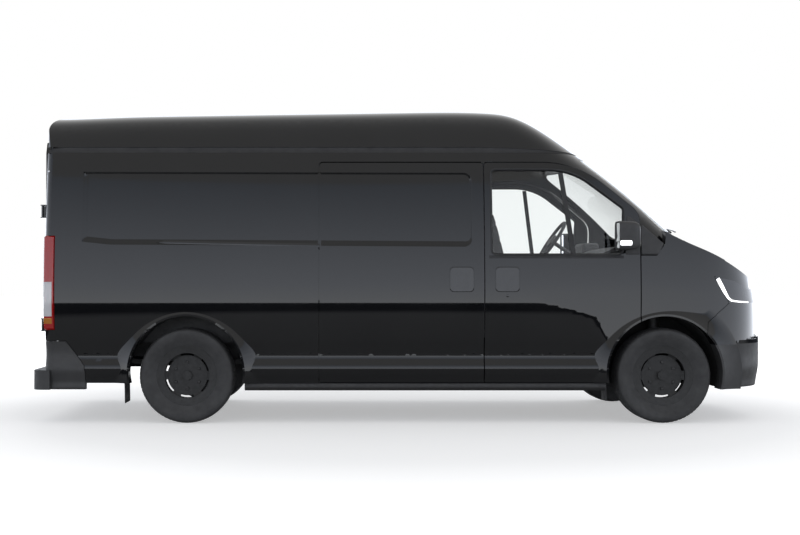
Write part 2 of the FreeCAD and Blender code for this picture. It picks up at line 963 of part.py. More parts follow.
def mirror():
    """Right mirror: head, arm and foot."""
    place = V(along(mirror_rear), -mirror_inner_y - mirror_out, mirror_bottom_z)
    head = box(place, place + V(mirror_depth, mirror_out - mirror_stand, mirror_height))
    head = head.makeFillet(mirror_round, head.Edges)
    low = mirror_bottom_z + mirror_arm_low
    arm = both_sides_box(mirror_arm_rear, mirror_arm_front, mirror_inner_y - overrun,
                         mirror_inner_y + mirror_stand + overrun, low, low + mirror_arm_height)
    return head.fuse(arm).cut(side_block(0.0))


def front_shell(depth):
    """Right half of the nose from the front door forward, under the hood's surface."""
    key = ("shell", depth)
    if key not in blocks:
        outer = nose_block(0.0).common(hood_block(0.0))
        blocks[key] = outer.cut(nose_block(depth).common(hood_block(depth)))
    return blocks[key]


def front_panel(region, depth):
    """A panel of the nose with its part of the arch lip, cut to the arch."""
    ring = region.common(lip(front_axle_x, 0.0)).cut(nose_block(depth))
    return front_shell(depth).common(region).fuse(ring).cut(arch(front_axle_x, arch_radius))


def whole(right):
    """A piece across the van from its right half."""
    return right.fuse(across(right))


def hood_plan(grow):
    """Right half of the hood's plan, to its side and front."""
    points = nose_points(hood_front_z + hood_wall, 0.0, hood_side_share, grow)
    points = [V(p.x, p.y, hood_front_z - overrun) for p in points]
    corner = V(points[0].x, 0, points[0].z)
    face = Part.Face(Part.Wire([
        curve(points),
        Part.makeLine(points[-1], corner),
        Part.makeLine(corner, points[0]),
    ]))
    return face.extrude(V(0, 0, roof_height))


def hood_back(grow):
    """What lies behind the hood's bowed rear edge in plan."""
    wide = body_half_width
    edge = []
    for y in spread(-wide, wide, hood_columns):
        edge.append(V(along(hood_rear) - hood_bow * (y / wide) ** 2 + grow, y,
                      hood_front_z - overrun))
    rear = V(along(door_front), 0, 0)
    corners = [V(rear.x, wide, edge[0].z), V(rear.x, -wide, edge[0].z)]
    wire = Part.Wire([
        curve(edge),
        Part.makeLine(edge[-1], corners[0]),
        Part.makeLine(corners[0], corners[1]),
        Part.makeLine(corners[1], edge[0]),
    ])
    return Part.Face(wire).extrude(V(0, 0, roof_height))


def hood():
    """Hood with its hinge eyes."""
    half = shut_gap / 2
    space = box(V(0, -body_half_width, hood_front_z + half), V(nose_x + overrun, 0, gutter_z))
    region = hood_plan(-half).common(space).cut(hood_back(half))
    lid = front_shell(hood_wall).common(region)
    middle = V(hood_pin_x(), -hood_pin_y, hood_pin_z())
    reach = V(0, hood_eye_length / 2, 0)
    eye = rod(hood_eye_radius, middle - reach, middle + reach)
    strap = box(middle - reach + V(0, 0, -hood_eye_radius), middle + reach + V(hood_strap, 0, 0))
    bore = rod(hinge_pin_radius + pin_gap, middle - reach * 2, middle + reach * 2)
    return whole(join([lid, eye, strap]).cut(bore))


def hood_pin_x():
    """Where the hood turns."""
    return along(hood_rear) - hood_bow * (hood_pin_y / body_half_width) ** 2 - hood_pin_back


def hood_pin_z():
    """Height at which the hood turns."""
    rise = hood_crown * (hood_pin_y / body_half_width) ** 2
    return hood_line(hood_pin_x() + hood_pin_back + shut_gap) - rise - hood_wall / 2


def fender():
    """Right front fender with its part of the arch lip."""
    half = shut_gap / 2
    panel = front_panel(side_prism(fender_outline, -half), fender_wall)
    return panel.cut(hood_plan(half).common(hood_space()))


def headlamp():
    """Right headlamp, wrapped round the corner of the nose."""
    region = side_prism(headlamp_outline, -seat_gap, headlamp_inner_y)
    lamp = front_shell(nose_wall).common(region)
    return lamp.cut(hood_plan(shut_gap / 2).common(hood_space()))


def hood_space():
    """The height range that the hood takes."""
    return box(V(0, -body_half_width, hood_front_z - shut_gap / 2),
               V(nose_x + overrun, overrun, gutter_z))


def front_fascia():
    """Painted bumper across the nose, with the grille's opening."""
    panel = front_panel(side_prism(fascia_outline), nose_wall)
    return whole(panel.cut(grille_space(0.0)))


def grille_space(grow):
    """Block of the nose that the grille fills."""
    return prism([(-grille_half, hood_front_z - shut_gap), (-grille_half + grille_taper,
                 grille_bottom_z), (grille_half - grille_taper, grille_bottom_z),
                 (grille_half, hood_front_z - shut_gap)], front_axle_x, nose_x + overrun, "x", grow)


def grille():
    """Grille of level bars in a frame, with a post in the middle."""
    block = front_shell(nose_wall).common(grille_space(-seat_gap))
    pitch = grille_bar_height + grille_bar_gap
    level = grille_bottom_z + grille_bar_height
    end = grille_half - grille_taper - grille_bar_height
    while level + grille_bar_gap < hood_front_z - shut_gap - grille_bar_height / 2:
        block = block.cut(box(V(front_axle_x, -end, level), V(nose_x + overrun,
                              -grille_bar_height / 4, level + grille_bar_gap)))
        level += pitch
    return whole(block)


def bumper_lower():
    """Plastic lower bumper with its air intake."""
    space = box(V(front_axle_x, -body_half_width - overrun, lower_bottom_z),
                V(nose_x + overrun, 0, lower_top_z))
    panel = front_panel(space, nose_wall)
    intake = prism([(-intake_half, intake_top_z, intake_round), (-intake_half, intake_bottom_z,
                   intake_round), (intake_half, intake_bottom_z, intake_round),
                   (intake_half, intake_top_z, intake_round)], front_axle_x, nose_x + overrun, "x")
    return whole(panel.cut(intake))


def across_box(rear, front, half, low, high):
    """Box over the whole width."""
    return box(V(along(rear), -half, low), V(along(front), half, high))


def roof_cap():
    """High roof with its forehead above the windscreen and the groove of the gutter."""
    space = across_box(roof_rear - overrun, cab_front, body_half_width + overrun, gutter_z,
                       roof_height + overrun)
    outer = canopy_block(0.0).common(roof_profile(0.0)).common(space)
    shell = outer.cut(canopy_block(roof_wall).common(roof_profile(roof_wall)))
    band = [(roof_rear - 2 * overrun, gutter_z - overrun), (roof_rear - 2 * overrun,
            gutter_z + gutter_height), (gutter_bend, gutter_z + gutter_height),
            (gutter_end, gutter_z + gutter_height / 4), (gutter_end, gutter_z - overrun)]
    groove = side_prism(band).cut(canopy_block(gutter_depth).common(roof_profile(gutter_depth)))
    shell = shell.cut([groove, across(groove)])
    rear_way = across_box(roof_rear - overrun, roof_rear + 2 * overrun, rear_pillar_half,
                          gutter_z - overrun, rear_door_top_z + shut_gap)
    return shell.cut(rear_way)


def windscreen_zone(grow):
    """Windscreen's outline, seen from the front."""
    return prism([(-glass_bottom_half, glass_bottom_z, glass_corner / 2), (glass_bottom_half,
                 glass_bottom_z, glass_corner / 2), (glass_top_half, glass_top_z, glass_corner),
                 (-glass_top_half, glass_top_z, glass_corner)], along(window_bend),
                 along(cab_front), "x", grow)


def windscreen():
    """Bonded windscreen."""
    region = windscreen_zone(-seat_gap)
    outer = canopy_block(glass_sink).common(region)
    return outer.cut(canopy_block(glass_sink + glass_wall))


def cowl():
    """Plastic panel between the windscreen and the hood."""
    region = box(V(along(window_front), -cowl_half, glass_bottom_z - cowl_drop),
                 V(along(cab_front), cowl_half, glass_bottom_z))
    panel = canopy_block(glass_sink).common(region)
    panel = panel.cut(canopy_block(roof_wall))
    reach = hood_eye_length / 2 + hood_lug_wall + shut_gap
    eye = both_sides_box(along_hood_pin() - hood_eye_radius - shut_gap / 2, cab_front,
                         hood_pin_y - reach, hood_pin_y + reach, glass_bottom_z - cowl_drop
                         - overrun, glass_bottom_z + overrun)
    return panel.common(hood_back(-shut_gap / 2)).cut([eye, across(eye)])


def cab_frame():
    """Rails over the doors, windscreen header and front pillars."""
    half = shut_gap / 2
    space = across_box(slide_front, cab_front, body_half_width + overrun, belt_z + half, gutter_z)
    frame = canopy_block(0.0).common(space).cut(canopy_block(roof_wall))
    doors = side_prism(door_outline, half)
    edge = side_prism(fender_outline, half, cowl_half)
    frame = frame.cut([doors, across(doors), edge, across(edge)])
    frame = frame.cut(windscreen_zone(0.0))
    scuttle = across_box(window_front, cab_front, cowl_half, belt_z - overrun, glass_bottom_z)
    return frame.cut([scuttle, across_box(slide_front - overrun, door_bend, pillar_inner_y,
                                          belt_z, door_top_z)])


def bulkhead():
    """Wall behind the seats with both pillars between the doors."""
    top = door_top_z + shut_gap / 2
    board = both_sides_box(bpillar_rear, bpillar_rear + bulkhead_wall, 0.0, body_half_width,
                           floor_z, top)
    post = both_sides_box(bpillar_rear, bpillar_front, 0.0, body_half_width, floor_z, top)
    shape = board.fuse(post.cut(side_block(bpillar_depth)))
    return whole(shape.common(side_block(side_wall)))


def within(rear, front, low, high, inset):
    """Right half of a block between two distances and heights, inside a depth of the side."""
    return both_sides_box(rear, front, 0.0, body_half_width, low, high).common(side_block(inset))


def floor_pan():
    """Floor with the sills and the rear wheelhouses; a groove parts the load floor from the cab's."""
    low = floor_z - floor_wall
    sill_rear = arch_radius + shut_gap
    sill_front = wheelbase - arch_radius - shut_gap
    shapes = [
        within(roof_rear + pillar_length, sill_rear, low, floor_z, side_wall),
        within(sill_rear, sill_front, low, floor_z, sill_depth),
        both_sides_box(sill_front, firewall, 0.0, wheelhouse_inner_y, low, floor_z),
    ]
    web = within(sill_rear, sill_front, sill_bottom_z, floor_z, sill_depth)
    tread = within(sill_rear, sill_front, sill_bottom_z, door_bottom_z - shut_gap / 2,
                   sill_inset)
    shapes += [shape.cut(side_block(sill_depth + sill_wall)) for shape in (web, tread)]
    house = arch(rear_axle_x, arch_radius + wheelhouse_wall, rear_wheelhouse_y - wheelhouse_wall)
    tunnel = arch(rear_axle_x, arch_radius, rear_wheelhouse_y)
    above = both_sides_box(-arch_radius - overrun, arch_radius + overrun, 0.0, body_half_width,
                           low, roof_height)
    house = house.common(above).common(side_block(side_wall)).cut(tunnel)
    pan = join(shapes).cut(tunnel).fuse(house)
    for place in (rack_middle - rack_spacing / 2, rack_middle + rack_spacing / 2):
        pan = pan.cut(Part.makeCylinder(rack_hole_radius, floor_wall + 2 * overrun,
                                        V(along(place), -rack_spacing / 2, low - overrun)))
    groove = both_sides_box(bpillar_rear - 2 * floor_groove, bpillar_rear - floor_groove, 0.0,
                            body_half_width, floor_z - floor_groove, floor_z + overrun)
    return whole(pan.cut(groove))


def front_structure():
    """Firewall, front wheelhouses and hinge pillars, joined as on a real body."""
    top = scuttle_z
    plate = across_box(firewall, firewall + firewall_wall, pillar_inner_y, floor_z - floor_wall, top)
    shelf = across_box(firewall, scuttle_front, pillar_inner_y, top - firewall_wall, top)
    upright = across_box(scuttle_front - firewall_wall, scuttle_front, pillar_inner_y,
                         top - firewall_wall, gutter_z)
    upright = upright.common(canopy_block(roof_wall))
    tunnel = arch(front_axle_x, arch_radius + wheelhouse_wall / 2,
                  wheelhouse_inner_y + wheelhouse_wall / 2)
    shapes = [plate.cut([tunnel, across(tunnel)]), shelf, upright]
    for side in (-1, 1):
        house = wheelhouse()
        pillar = both_sides_box(pillar_rear, pillar_front, pillar_inner_y - overrun,
                                pillar_outer_y, arch_z + arch_radius, belt_z + shut_gap / 2)
        pillar = pillar.cut(arch(front_axle_x, arch_radius + wheelhouse_wall / 2))
        step = both_sides_box(pillar_rear, pillar_front, pillar_inner_y, pillar_foot_y,
                              belt_z + shut_gap / 2 - firewall_wall, belt_z + shut_gap / 2)
        web = both_sides_box(pillar_front - firewall_wall, firewall + firewall_wall,
                             pillar_inner_y - overrun, pillar_inner_y, arch_z + arch_radius,
                             belt_z)
        carrier = both_sides_box(firewall, along_hood_pin() + hood_lug_wall * 2,
                                 pillar_inner_y - hood_lug_wall, pillar_inner_y,
                                 arch_z + arch_radius - overrun,
                                 hood_pin_z() - hood_lug_drop + hood_lug_wall)
        carrier = carrier.cut(arch(front_axle_x, arch_radius))
        shapes += [s if side < 0 else across(s) for s in
                   [house, pillar, step, web, carrier] + hinge_lugs() + hood_lugs()]
    return join(shapes)


def along_hood_pin():
    """Hood pin's distance from the rear axle."""
    return hood_pin_x() - rear_axle_x


def hood_lugs():
    """Lug and pin of the right hood hinge, beside the hood's eye."""
    pin = V(hood_pin_x(), -hood_pin_y, hood_pin_z())
    inner = hood_eye_length / 2 + pin_side_gap
    lug = box(pin + V(-hood_lug_radius, -inner - hood_lug_wall, -hood_lug_drop),
              pin + V(hood_lug_radius, -inner, 0))
    ear = rod(hood_lug_radius, pin + V(0, -inner - hood_lug_wall, 0), pin + V(0, -inner, 0))
    bar = rod(hinge_pin_radius, pin + V(0, -inner - hood_lug_wall, 0),
              pin + V(0, hood_eye_length / 2, 0))
    foot = box(pin + V(-hood_eye_radius, -inner - hood_lug_wall, -hood_lug_drop),
               pin + V(hood_eye_radius, hood_pin_y - pillar_inner_y + hood_lug_wall,
                       -hood_lug_drop + hood_lug_wall))
    return [lug, ear, bar, foot]


def wheelhouse():
    """Right front wheelhouse, a tunnel over the steered tyre with its inner wall, which draws in
    behind the bumper."""
    low = arch_z - wheelhouse_drop
    high = arch_z + arch_radius + 2 * wheelhouse_wall
    reach = arch_radius + 2 * wheelhouse_wall
    split = door_front + shut_gap
    rear = both_sides_box(wheelbase - reach, split, wheelhouse_inner_y, pillar_inner_y
                          + overrun / 2, low, high)
    front = both_sides_box(split, wheelbase + reach, wheelhouse_inner_y, body_half_width, low,
                           high).common(nose_block(fender_wall + seat_gap))
    outer = arch(front_axle_x, arch_radius + wheelhouse_wall, wheelhouse_inner_y)
    inner = arch(front_axle_x, arch_radius, wheelhouse_inner_y + wheelhouse_wall)
    opening = both_sides_box(wheelbase - strut_room, wheelbase + strut_room,
                             wheelhouse_inner_y - overrun, wheelhouse_inner_y + overrun,
                             low - overrun, arch_z + strut_room / 2)
    nose = both_sides_box(bumper_back, wheelbase + 2 * reach, 0.0, body_half_width + overrun,
                          low - overrun, high + overrun).cut(nose_block(nose_wall + seat_gap))
    return outer.cut([inner, opening, nose]).common(rear.fuse(front))


def chassis_frame():
    """Two rails with cross-members."""
    low = floor_z - floor_wall - rail_height
    high = floor_z - floor_wall
    shapes = []
    for side in (-1, 1):
        y = side * rail_y
        outer = box(V(along(rail_rear), y - rail_width / 2, low),
                    V(along(rail_front), y + rail_width / 2, high))
        shapes.append(outer)
    for place in cross_places:
        shapes.append(box(V(along(place), -rail_y, low + overrun / 2),
                          V(along(place) + cross_width, rail_y, high - overrun / 4)))
    for side in (-1, 1):
        for place in (-spring_span / 2, spring_span / 2):
            shapes.append(box(V(along(place) - spring_wall, min(side * rail_y, side * spring_y)
                                - spring_width / 2 * (side < 0), low),
                              V(along(place) + spring_wall,
                                max(side * rail_y, side * spring_y) + spring_width / 2
                                * (side > 0), high - overrun / 4)))
    for place in (bumper_rear + bumper_wall, ):
        for side in (-1, 1):
            shapes.append(box(V(along(place), side * rail_y - rail_width / 2, low),
                              V(along(rail_rear) + overrun, side * rail_y + rail_width / 2,
                                low + rail_width)))
    for side in (-1, 1):
        inner = side * (engine_half + seat_gap)
        outer = side * rail_y
        shapes.append(box(V(along(engine_mount), min(inner, outer), high - rail_width),
                          V(along(engine_mount) + cross_width, max(inner, outer), high)))
    tow = box(V(along(rail_front) - overrun, -rail_y - rail_width / 2, low),
              V(along(rail_front), rail_y + rail_width / 2, high))
    return join(shapes + [tow])


def engine_block():
    """Engine and gearbox as one heavy block between the rails."""
    return across_box(engine_rear, engine_front, engine_half, engine_bottom, engine_top)


def rear_door():
    """Right rear door with its recess and hinge straps."""
    half = shut_gap / 2
    board = box(V(along(rear_door_face), -rear_door_half, rear_door_bottom_z),
                V(along(rear_door_face) + rear_door_wall, -half, rear_door_top_z))
    outline = [(-rear_door_half, rear_door_bottom_z, seam_corner), (-rear_door_half,
               gutter_z, rear_door_round), (-rear_door_half + rear_door_lean, rear_door_top_z,
               rear_door_round / 2), (-half, rear_door_top_z), (-half, rear_door_bottom_z)]
    board = board.common(prism(outline, along(rear_door_face) - overrun,
                               along(rear_door_face) + 2 * overrun, "x"))
    recess = [(-rear_door_half + rear_recess_edge, recess_bottom, recess_corner),
              (-rear_door_half + rear_recess_edge, recess_top, recess_corner),
              (-rear_recess_edge, recess_top, recess_corner),
              (-rear_recess_edge, recess_bottom, recess_corner)]
    board = board.cut(prism(recess, along(rear_door_face) - overrun,
                            along(rear_door_face) + recess_depth, "x"))
    shapes = [board]
    for z in rear_hinge_places:
        low = z - hinge_height
        eye = Part.makeCylinder(hinge_eye_radius, 2 * hinge_height,
                                V(along(rear_hinge_x), -rear_hinge_y, low))
        strap = box(V(along(rear_hinge_x) + hinge_pin_radius, -rear_hinge_y, low),
                    V(along(rear_door_face) + seat_gap, -rear_hinge_y + rear_strap_length,
                      low + 2 * hinge_height))
        shapes += [eye, strap]
    bore = Part.makeCylinder(hinge_pin_radius + pin_gap, roof_height,
                             V(along(rear_hinge_x), -rear_hinge_y, 0))
    return join(shapes).cut(bore)


def rear_hinge_lugs():
    """Lugs and pins on the right rear pillar."""
    shapes = []
    for z in rear_hinge_places:
        low = z - hinge_height - pin_side_gap - hinge_lug_wall
        top = z + hinge_height + pin_side_gap
        for level in (low, top):
            shapes.append(box(V(along(rear_hinge_x) - hinge_eye_radius, -rear_hinge_y
                                - rear_lug_reach, level),
                              V(along(roof_rear) + seat_gap, -rear_hinge_y + rear_lug_inner,
                                level + hinge_lug_wall)))
        shapes.append(Part.makeCylinder(hinge_pin_radius, top - low + hinge_lug_wall,
                                        V(along(rear_hinge_x), -rear_hinge_y, low)))
    return shapes


def rear_bumper():
    """Rear bumper: a step across the tail and corner pieces that reach up beside the doors."""
    corner = side_prism(bumper_outline, 0.0, rear_pillar_half)
    corner = corner.common(side_block(0.0)).cut(side_block(bumper_corner_wall))
    plan = [(along(roof_rear) + pillar_length / 2, -bumper_half), (along(bumper_rear),
            -bumper_half, bumper_radius), (along(bumper_rear), bumper_half, bumper_radius),
            (along(roof_rear) + pillar_length / 2, bumper_half)]
    step = prism(plan, bumper_bottom_z, bumper_step_z, "z")
    hollow = box(V(along(bumper_rear) + bumper_wall, -bumper_half + bumper_wall,
                   bumper_bottom_z - overrun),
                 V(along(roof_rear) + pillar_length, bumper_half - bumper_wall,
                   bumper_step_z - bumper_tread))
    return join([step.cut(hollow), corner, across(corner)])


def rim(wheel_x):
    """Steel wheel with brake disc and hub, about the right side's wheel."""
    face = -wheel_y - rim_width / 2
    inner = -wheel_y + rim_width / 2

    def spot(radius, y):
        return V(wheel_x, y, axle_z + radius)

    lip_y_out = face
    well = rim_lip_radius - rim_well
    outline = [spot(well - rim_wall, lip_y_out + rim_lip_width), spot(rim_lip_radius, lip_y_out),
               spot(rim_lip_radius, lip_y_out + rim_wall), spot(rim_seat_radius, lip_y_out
               + 2 * rim_wall), spot(rim_seat_radius, lip_y_out + rim_width / 3),
               spot(well, lip_y_out + rim_width / 2), spot(rim_seat_radius, inner - 2 * rim_wall),
               spot(rim_lip_radius, inner - rim_wall), spot(rim_lip_radius, inner),
               spot(rim_seat_radius - rim_wall, inner), spot(well - rim_wall, lip_y_out
               + rim_width / 2)]
    barrel = Part.Face(Part.makePolygon(outline + outline[:1])).revolve(
        V(wheel_x, 0, axle_z), V(0, 1, 0), 360)
    disc_y = face + wheel_disc_inset
    dish = [spot(0, disc_y + wheel_face_dish - rim_wall), spot(wheel_face_radius,
            disc_y + wheel_face_dish - rim_wall), spot(slot_ring_radius + slot_height, disc_y),
            spot(well - rim_wall / 2, disc_y + rim_wall), spot(well - rim_wall / 2, disc_y
            + rim_wall + wheel_disc_thickness), spot(slot_ring_radius + slot_height,
            disc_y + wheel_disc_thickness), spot(wheel_face_radius, disc_y + wheel_face_dish),
            spot(0, disc_y + wheel_face_dish)]
    disc = Part.Face(Part.makePolygon(dish + dish[:1])).revolve(
        V(wheel_x, 0, axle_z), V(0, 1, 0), 360)
    cap = Part.makeCylinder(wheel_cap_radius, wheel_face_dish, V(wheel_x, disc_y - rim_wall
                            / 3, axle_z), V(0, 1, 0))
    hub_start = V(wheel_x, disc_y + wheel_face_dish - rim_wall / 2, axle_z)
    hub = Part.makeCylinder(hub_radius, hub_length, hub_start, V(0, 1, 0))
    brake = Part.makeCylinder(disc_radius, disc_thickness, hub_start + V(0, hub_length
                              - disc_thickness, 0), V(0, 1, 0))
    wheel = barrel.fuse([disc, cap, hub, brake])
    for i in range(slot_count):
        sector = Part.makeCylinder(slot_ring_radius + slot_height / 2, 3 * overrun,
                                   V(wheel_x, face - overrun, axle_z), V(0, 1, 0),
                                   2 * slot_half_angle)
        core = Part.makeCylinder(slot_ring_radius - slot_height / 2, 3 * overrun,
                                 V(wheel_x, face - overrun, axle_z), V(0, 1, 0))
        slot = sector.cut(core)
        slot.rotate(V(wheel_x, 0, axle_z), V(0, 1, 0), i * 360 / slot_count - slot_half_angle)
        wheel = wheel.cut(slot)
    return wheel.cut(Part.makeCylinder(spindle_radius + pin_gap, hub_length + rim_wall,
                                       hub_start + V(0, rim_wall, 0), V(0, 1, 0)))


def tyre(wheel_x):
    """Tyre of the right side, seated on the rim's lips."""
    def spot(radius, y):
        return V(wheel_x, -wheel_y + y, axle_z + radius)

    outer = tyre_diameter / 2
    bulge = tyre_width / 2
    bead = rim_width / 2
    middle = (outer + rim_lip_radius) / 2
    tread = tread_width / 2
    right = [spot(rim_seat_radius + seat_gap, -bead + 2 * rim_wall + seat_gap),
             spot(rim_lip_radius + seat_gap, -bead + rim_wall + seat_gap),
             spot(rim_lip_radius + seat_gap, -bead)]
    side = [right[-1], spot(middle, -bulge), spot(outer - tyre_shoulder, -bulge + tyre_shoulder
            / 2), spot(outer, -tread)]
    mirror_spot = lambda p: V(p.x, -2 * wheel_y - p.y, p.z)
    other = [mirror_spot(p) for p in reversed(side)]
    edges = [Part.makeLine(right[0], right[1]), Part.makeLine(right[1], right[2]), curve(side),
             Part.makeLine(side[-1], other[0]), curve(other),
             Part.makeLine(other[-1], mirror_spot(right[1])),
             Part.makeLine(mirror_spot(right[1]), mirror_spot(right[0]))]
    inner = [mirror_spot(right[0]), spot(outer - tyre_wall, tread - tyre_wall),
             spot(outer - tyre_wall, -tread + tyre_wall), right[0]]
    edges += [Part.makeLine(a, b) for a, b in zip(inner, inner[1:])]
    return Part.Face(Part.Wire(edges)).revolve(V(wheel_x, 0, axle_z), V(0, 1, 0), 360)


def knuckle():
    """Right steering knuckle with its spindle, arm and brake caliper."""
    y = -(wheel_y - steer_inset)
    low = arm_low_z + arm_wall + seat_gap
    high = arm_high_z - arm_wall - seat_gap
    post = box(V(front_axle_x - knuckle_width / 2, y - knuckle_width / 3, low),
               V(front_axle_x + knuckle_width / 2, y + knuckle_width / 2, high))
    spindle = rod(spindle_radius, V(front_axle_x, y, axle_z), V(front_axle_x,
                  -axle_half_length, axle_z))
    arm = box(V(front_axle_x - knuckle_arm, y, axle_z - knuckle_width),
              V(front_axle_x, y + knuckle_width / 2, axle_z - knuckle_width + arm_wall))
    bore = Part.makeCylinder(kingpin_radius + pin_gap, knuckle_bore, V(front_axle_x, y, low
                             - overrun))
    bore_low = Part.makeCylinder(kingpin_radius + pin_gap, knuckle_bore,
                                 V(front_axle_x, y, low))
    bore_high = Part.makeCylinder(kingpin_radius + pin_gap, knuckle_bore,
                                  V(front_axle_x, y, high - knuckle_bore))
    return join([post, spindle, arm]).cut([bore_low, bore_high])


def front_suspension():
    """Subframe, arms, struts and ball pins of both front wheels."""
    low = floor_z - floor_wall - rail_height
    beam = box(V(front_axle_x - subframe_width / 2, -rail_y - rail_width / 2, arm_low_z),
               V(front_axle_x + subframe_width / 2, rail_y + rail_width / 2, subframe_top_z))
    shapes = [beam]
    for side in (-1, 1):
        mount = box(V(front_axle_x - arm_width, side * rail_y - rail_width / 2, subframe_top_z
                      - overrun), V(front_axle_x + arm_width, side * rail_y + rail_width / 2, low))
        shapes.append(mount)
    right = []
    y = -(wheel_y - steer_inset)
    lower = box(V(front_axle_x - arm_width / 2, y - arm_width / 3, arm_low_z),
                V(front_axle_x + arm_width / 2, -rail_y, arm_low_z + arm_wall))
    upper = box(V(front_axle_x - arm_width / 2, y - arm_width / 3, arm_high_z - arm_wall),
                V(front_axle_x + arm_width / 2, -strut_y, arm_high_z))
    strut = rod(strut_radius, V(front_axle_x, -strut_y, arm_low_z), V(front_axle_x, -strut_y,
                arch_z + arch_radius)).common(arch(front_axle_x, arch_radius - seat_gap))
    pin_low = Part.makeCylinder(kingpin_radius, arm_wall + seat_gap + knuckle_bore - pin_side_gap,
                                V(front_axle_x, y, arm_low_z))
    pin_high = Part.makeCylinder(kingpin_radius, arm_wall + seat_gap + knuckle_bore
                                 - pin_side_gap, V(front_axle_x, y, arm_high_z - arm_wall
                                                   - seat_gap - knuckle_bore + pin_side_gap))
    right = [lower, upper, strut, pin_low, pin_high]
    shapes += right + [across(shape) for shape in right]
    return join(shapes)


def rear_axle():
    """Beam axle with its differential and leaf springs."""
    tube_bar = rod(axle_tube_radius, V(rear_axle_x, -rear_tube_half, axle_z),
                   V(rear_axle_x, rear_tube_half, axle_z))
    spindle = rod(spindle_radius, V(rear_axle_x, -axle_half_length, axle_z),
                  V(rear_axle_x, axle_half_length, axle_z))
    ball = Part.makeSphere(differential_radius, V(rear_axle_x, 0, axle_z))
    shapes = [tube_bar, spindle, ball]
    low = floor_z - floor_wall - rail_height
    for side in (-1, 1):
        y = side * spring_y
        top = axle_z + axle_tube_radius + spring_wall
        ends = [V(along(-spring_span / 2), y - spring_width / 2, low),
                V(rear_axle_x, y - spring_width / 2, top - seat_gap),
                V(along(spring_span / 2), y - spring_width / 2, low)]
        upper = Part.Arc(*ends).toShape()
        down = V(0, 0, -spring_wall)
        lower = Part.Arc(ends[0] + down, ends[1] + down, ends[2] + down).toShape()
        face = Part.Face(Part.Wire([upper, Part.makeLine(ends[2], ends[2] + down), lower,
                                    Part.makeLine(ends[0] + down, ends[0])]))
        shapes.append(face.extrude(V(0, spring_width, 0)))
    return join(shapes)


def dashboard():
    """Dashboard with the steering column's bore."""
    outline = [(along(dash_rear), dash_bottom_z, dash_round), (along(dash_rear), dash_top_z
               - dash_round, dash_round), (along(dash_rear) + 2 * dash_round, dash_top_z,
               dash_round), (along(firewall) - seat_gap, dash_top_z), (along(firewall)
               - seat_gap, dash_bottom_z + dash_round), (along(dash_rear) + 2 * dash_round,
               dash_bottom_z)]
    block = prism(outline, -dash_half, dash_half, "y")
    hump = box(V(along(dash_rear) + dash_round, steering_y - binnacle_half, dash_top_z
                 - overrun), V(along(dash_rear) + binnacle_length, steering_y + binnacle_half,
                               dash_top_z + binnacle_height))
    hump = hump.makeFillet(dash_round / 2, hump.Edges)
    return join([block, hump]).cut(column_bore())


def steering_frame():
    """Middle of the steering wheel and the way its column leaves the driver."""
    tilt = math.radians(steering_tilt)
    way = V(math.cos(tilt), 0, -math.sin(tilt))
    return V(along(steering_x), steering_y, steering_z), way


def column_bore():
    """Running bore for the steering column."""
    middle, way = steering_frame()
    return rod(column_radius + pin_gap, middle, middle + way * (column_length + pin_side_gap))


def steering_wheel():
    """Steering wheel with its column."""
    middle, way = steering_frame()
    ring = Part.makeTorus(steering_radius, steering_grip, middle, way)
    column = rod(column_radius, middle, middle + way * column_length)
    hub = rod(steering_hub_radius, middle - way * steering_grip, middle + way * overrun / 2)
    shapes = [ring, column, hub]
    level = V(0, 1, 0)
    for turn in (-90, 0, 90):
        spoke = Part.makeBox(steering_radius, spoke_width, 2 * steering_grip * spoke_share,
                             V(0, -spoke_width / 2, -steering_grip * spoke_share))
        spoke.rotate(V(0, 0, 0), V(0, 0, 1), turn)
        spoke.rotate(V(0, 0, 0), V(0, 1, 0), 90 + steering_tilt)
        spoke.translate(middle)
        shapes.append(spoke)
    return join(shapes)


def seat(y, width, heads):
    """Seat of the cab: plinth, cushion, back and head restraints as one soft solid."""
    rear = along(seat_front - seat_length)
    front = along(seat_front)
    low = floor_z + plinth_height
    cushion = box(V(rear, y - width / 2, low), V(front, y + width / 2, cushion_top_z))
    cushion = cushion.makeFillet(seat_round, cushion.Edges)
    lean = math.tan(math.radians(back_lean))
    top = cushion_top_z + back_height
    foot_x = rear + back_wall / 2
    back = prism([(foot_x, low + seat_round), (foot_x - lean * (top - low), top, seat_round),
                  (foot_x - lean * (top - low) + back_wall, top, seat_round), (foot_x + back_wall,
                   low + seat_round)], y - width / 2 + seat_gap, y + width / 2 - seat_gap, "y")
    shapes = [cushion, back]
    for place in heads:
        head = box(V(foot_x - lean * (top - low) + back_wall / 4, place - head_width / 2, top
                     - seat_round), V(foot_x - lean * (top - low) + back_wall / 4 + head_wall,
                                      place + head_width / 2, top + head_height))
        shapes.append(head.makeFillet(seat_round, head.Edges))
    return join(shapes)


def seat_plinth():
    """Boxes under the seats, standing on the floor."""
    rear = along(seat_front - seat_length) + overrun / 2
    front = along(seat_front) - overrun
    high = floor_z + plinth_height
    right = box(V(rear, bench_y - bench_width / 2 + overrun, floor_z),
                V(front, bench_y + bench_width / 2 - overrun, high))
    left = box(V(rear, seat_y - seat_width / 2 + overrun / 2, floor_z),
               V(front, seat_y + seat_width / 2 - overrun / 2, high))
    bridge = box(V(rear, bench_y, floor_z), V(front, seat_y, floor_z + arm_wall))
    return join([right, left, bridge])


def both(name, shape):
    """Write a right-hand piece and its left-hand mirror."""
    export(name + "_right", shape)
    export(name + "_left", across(shape))


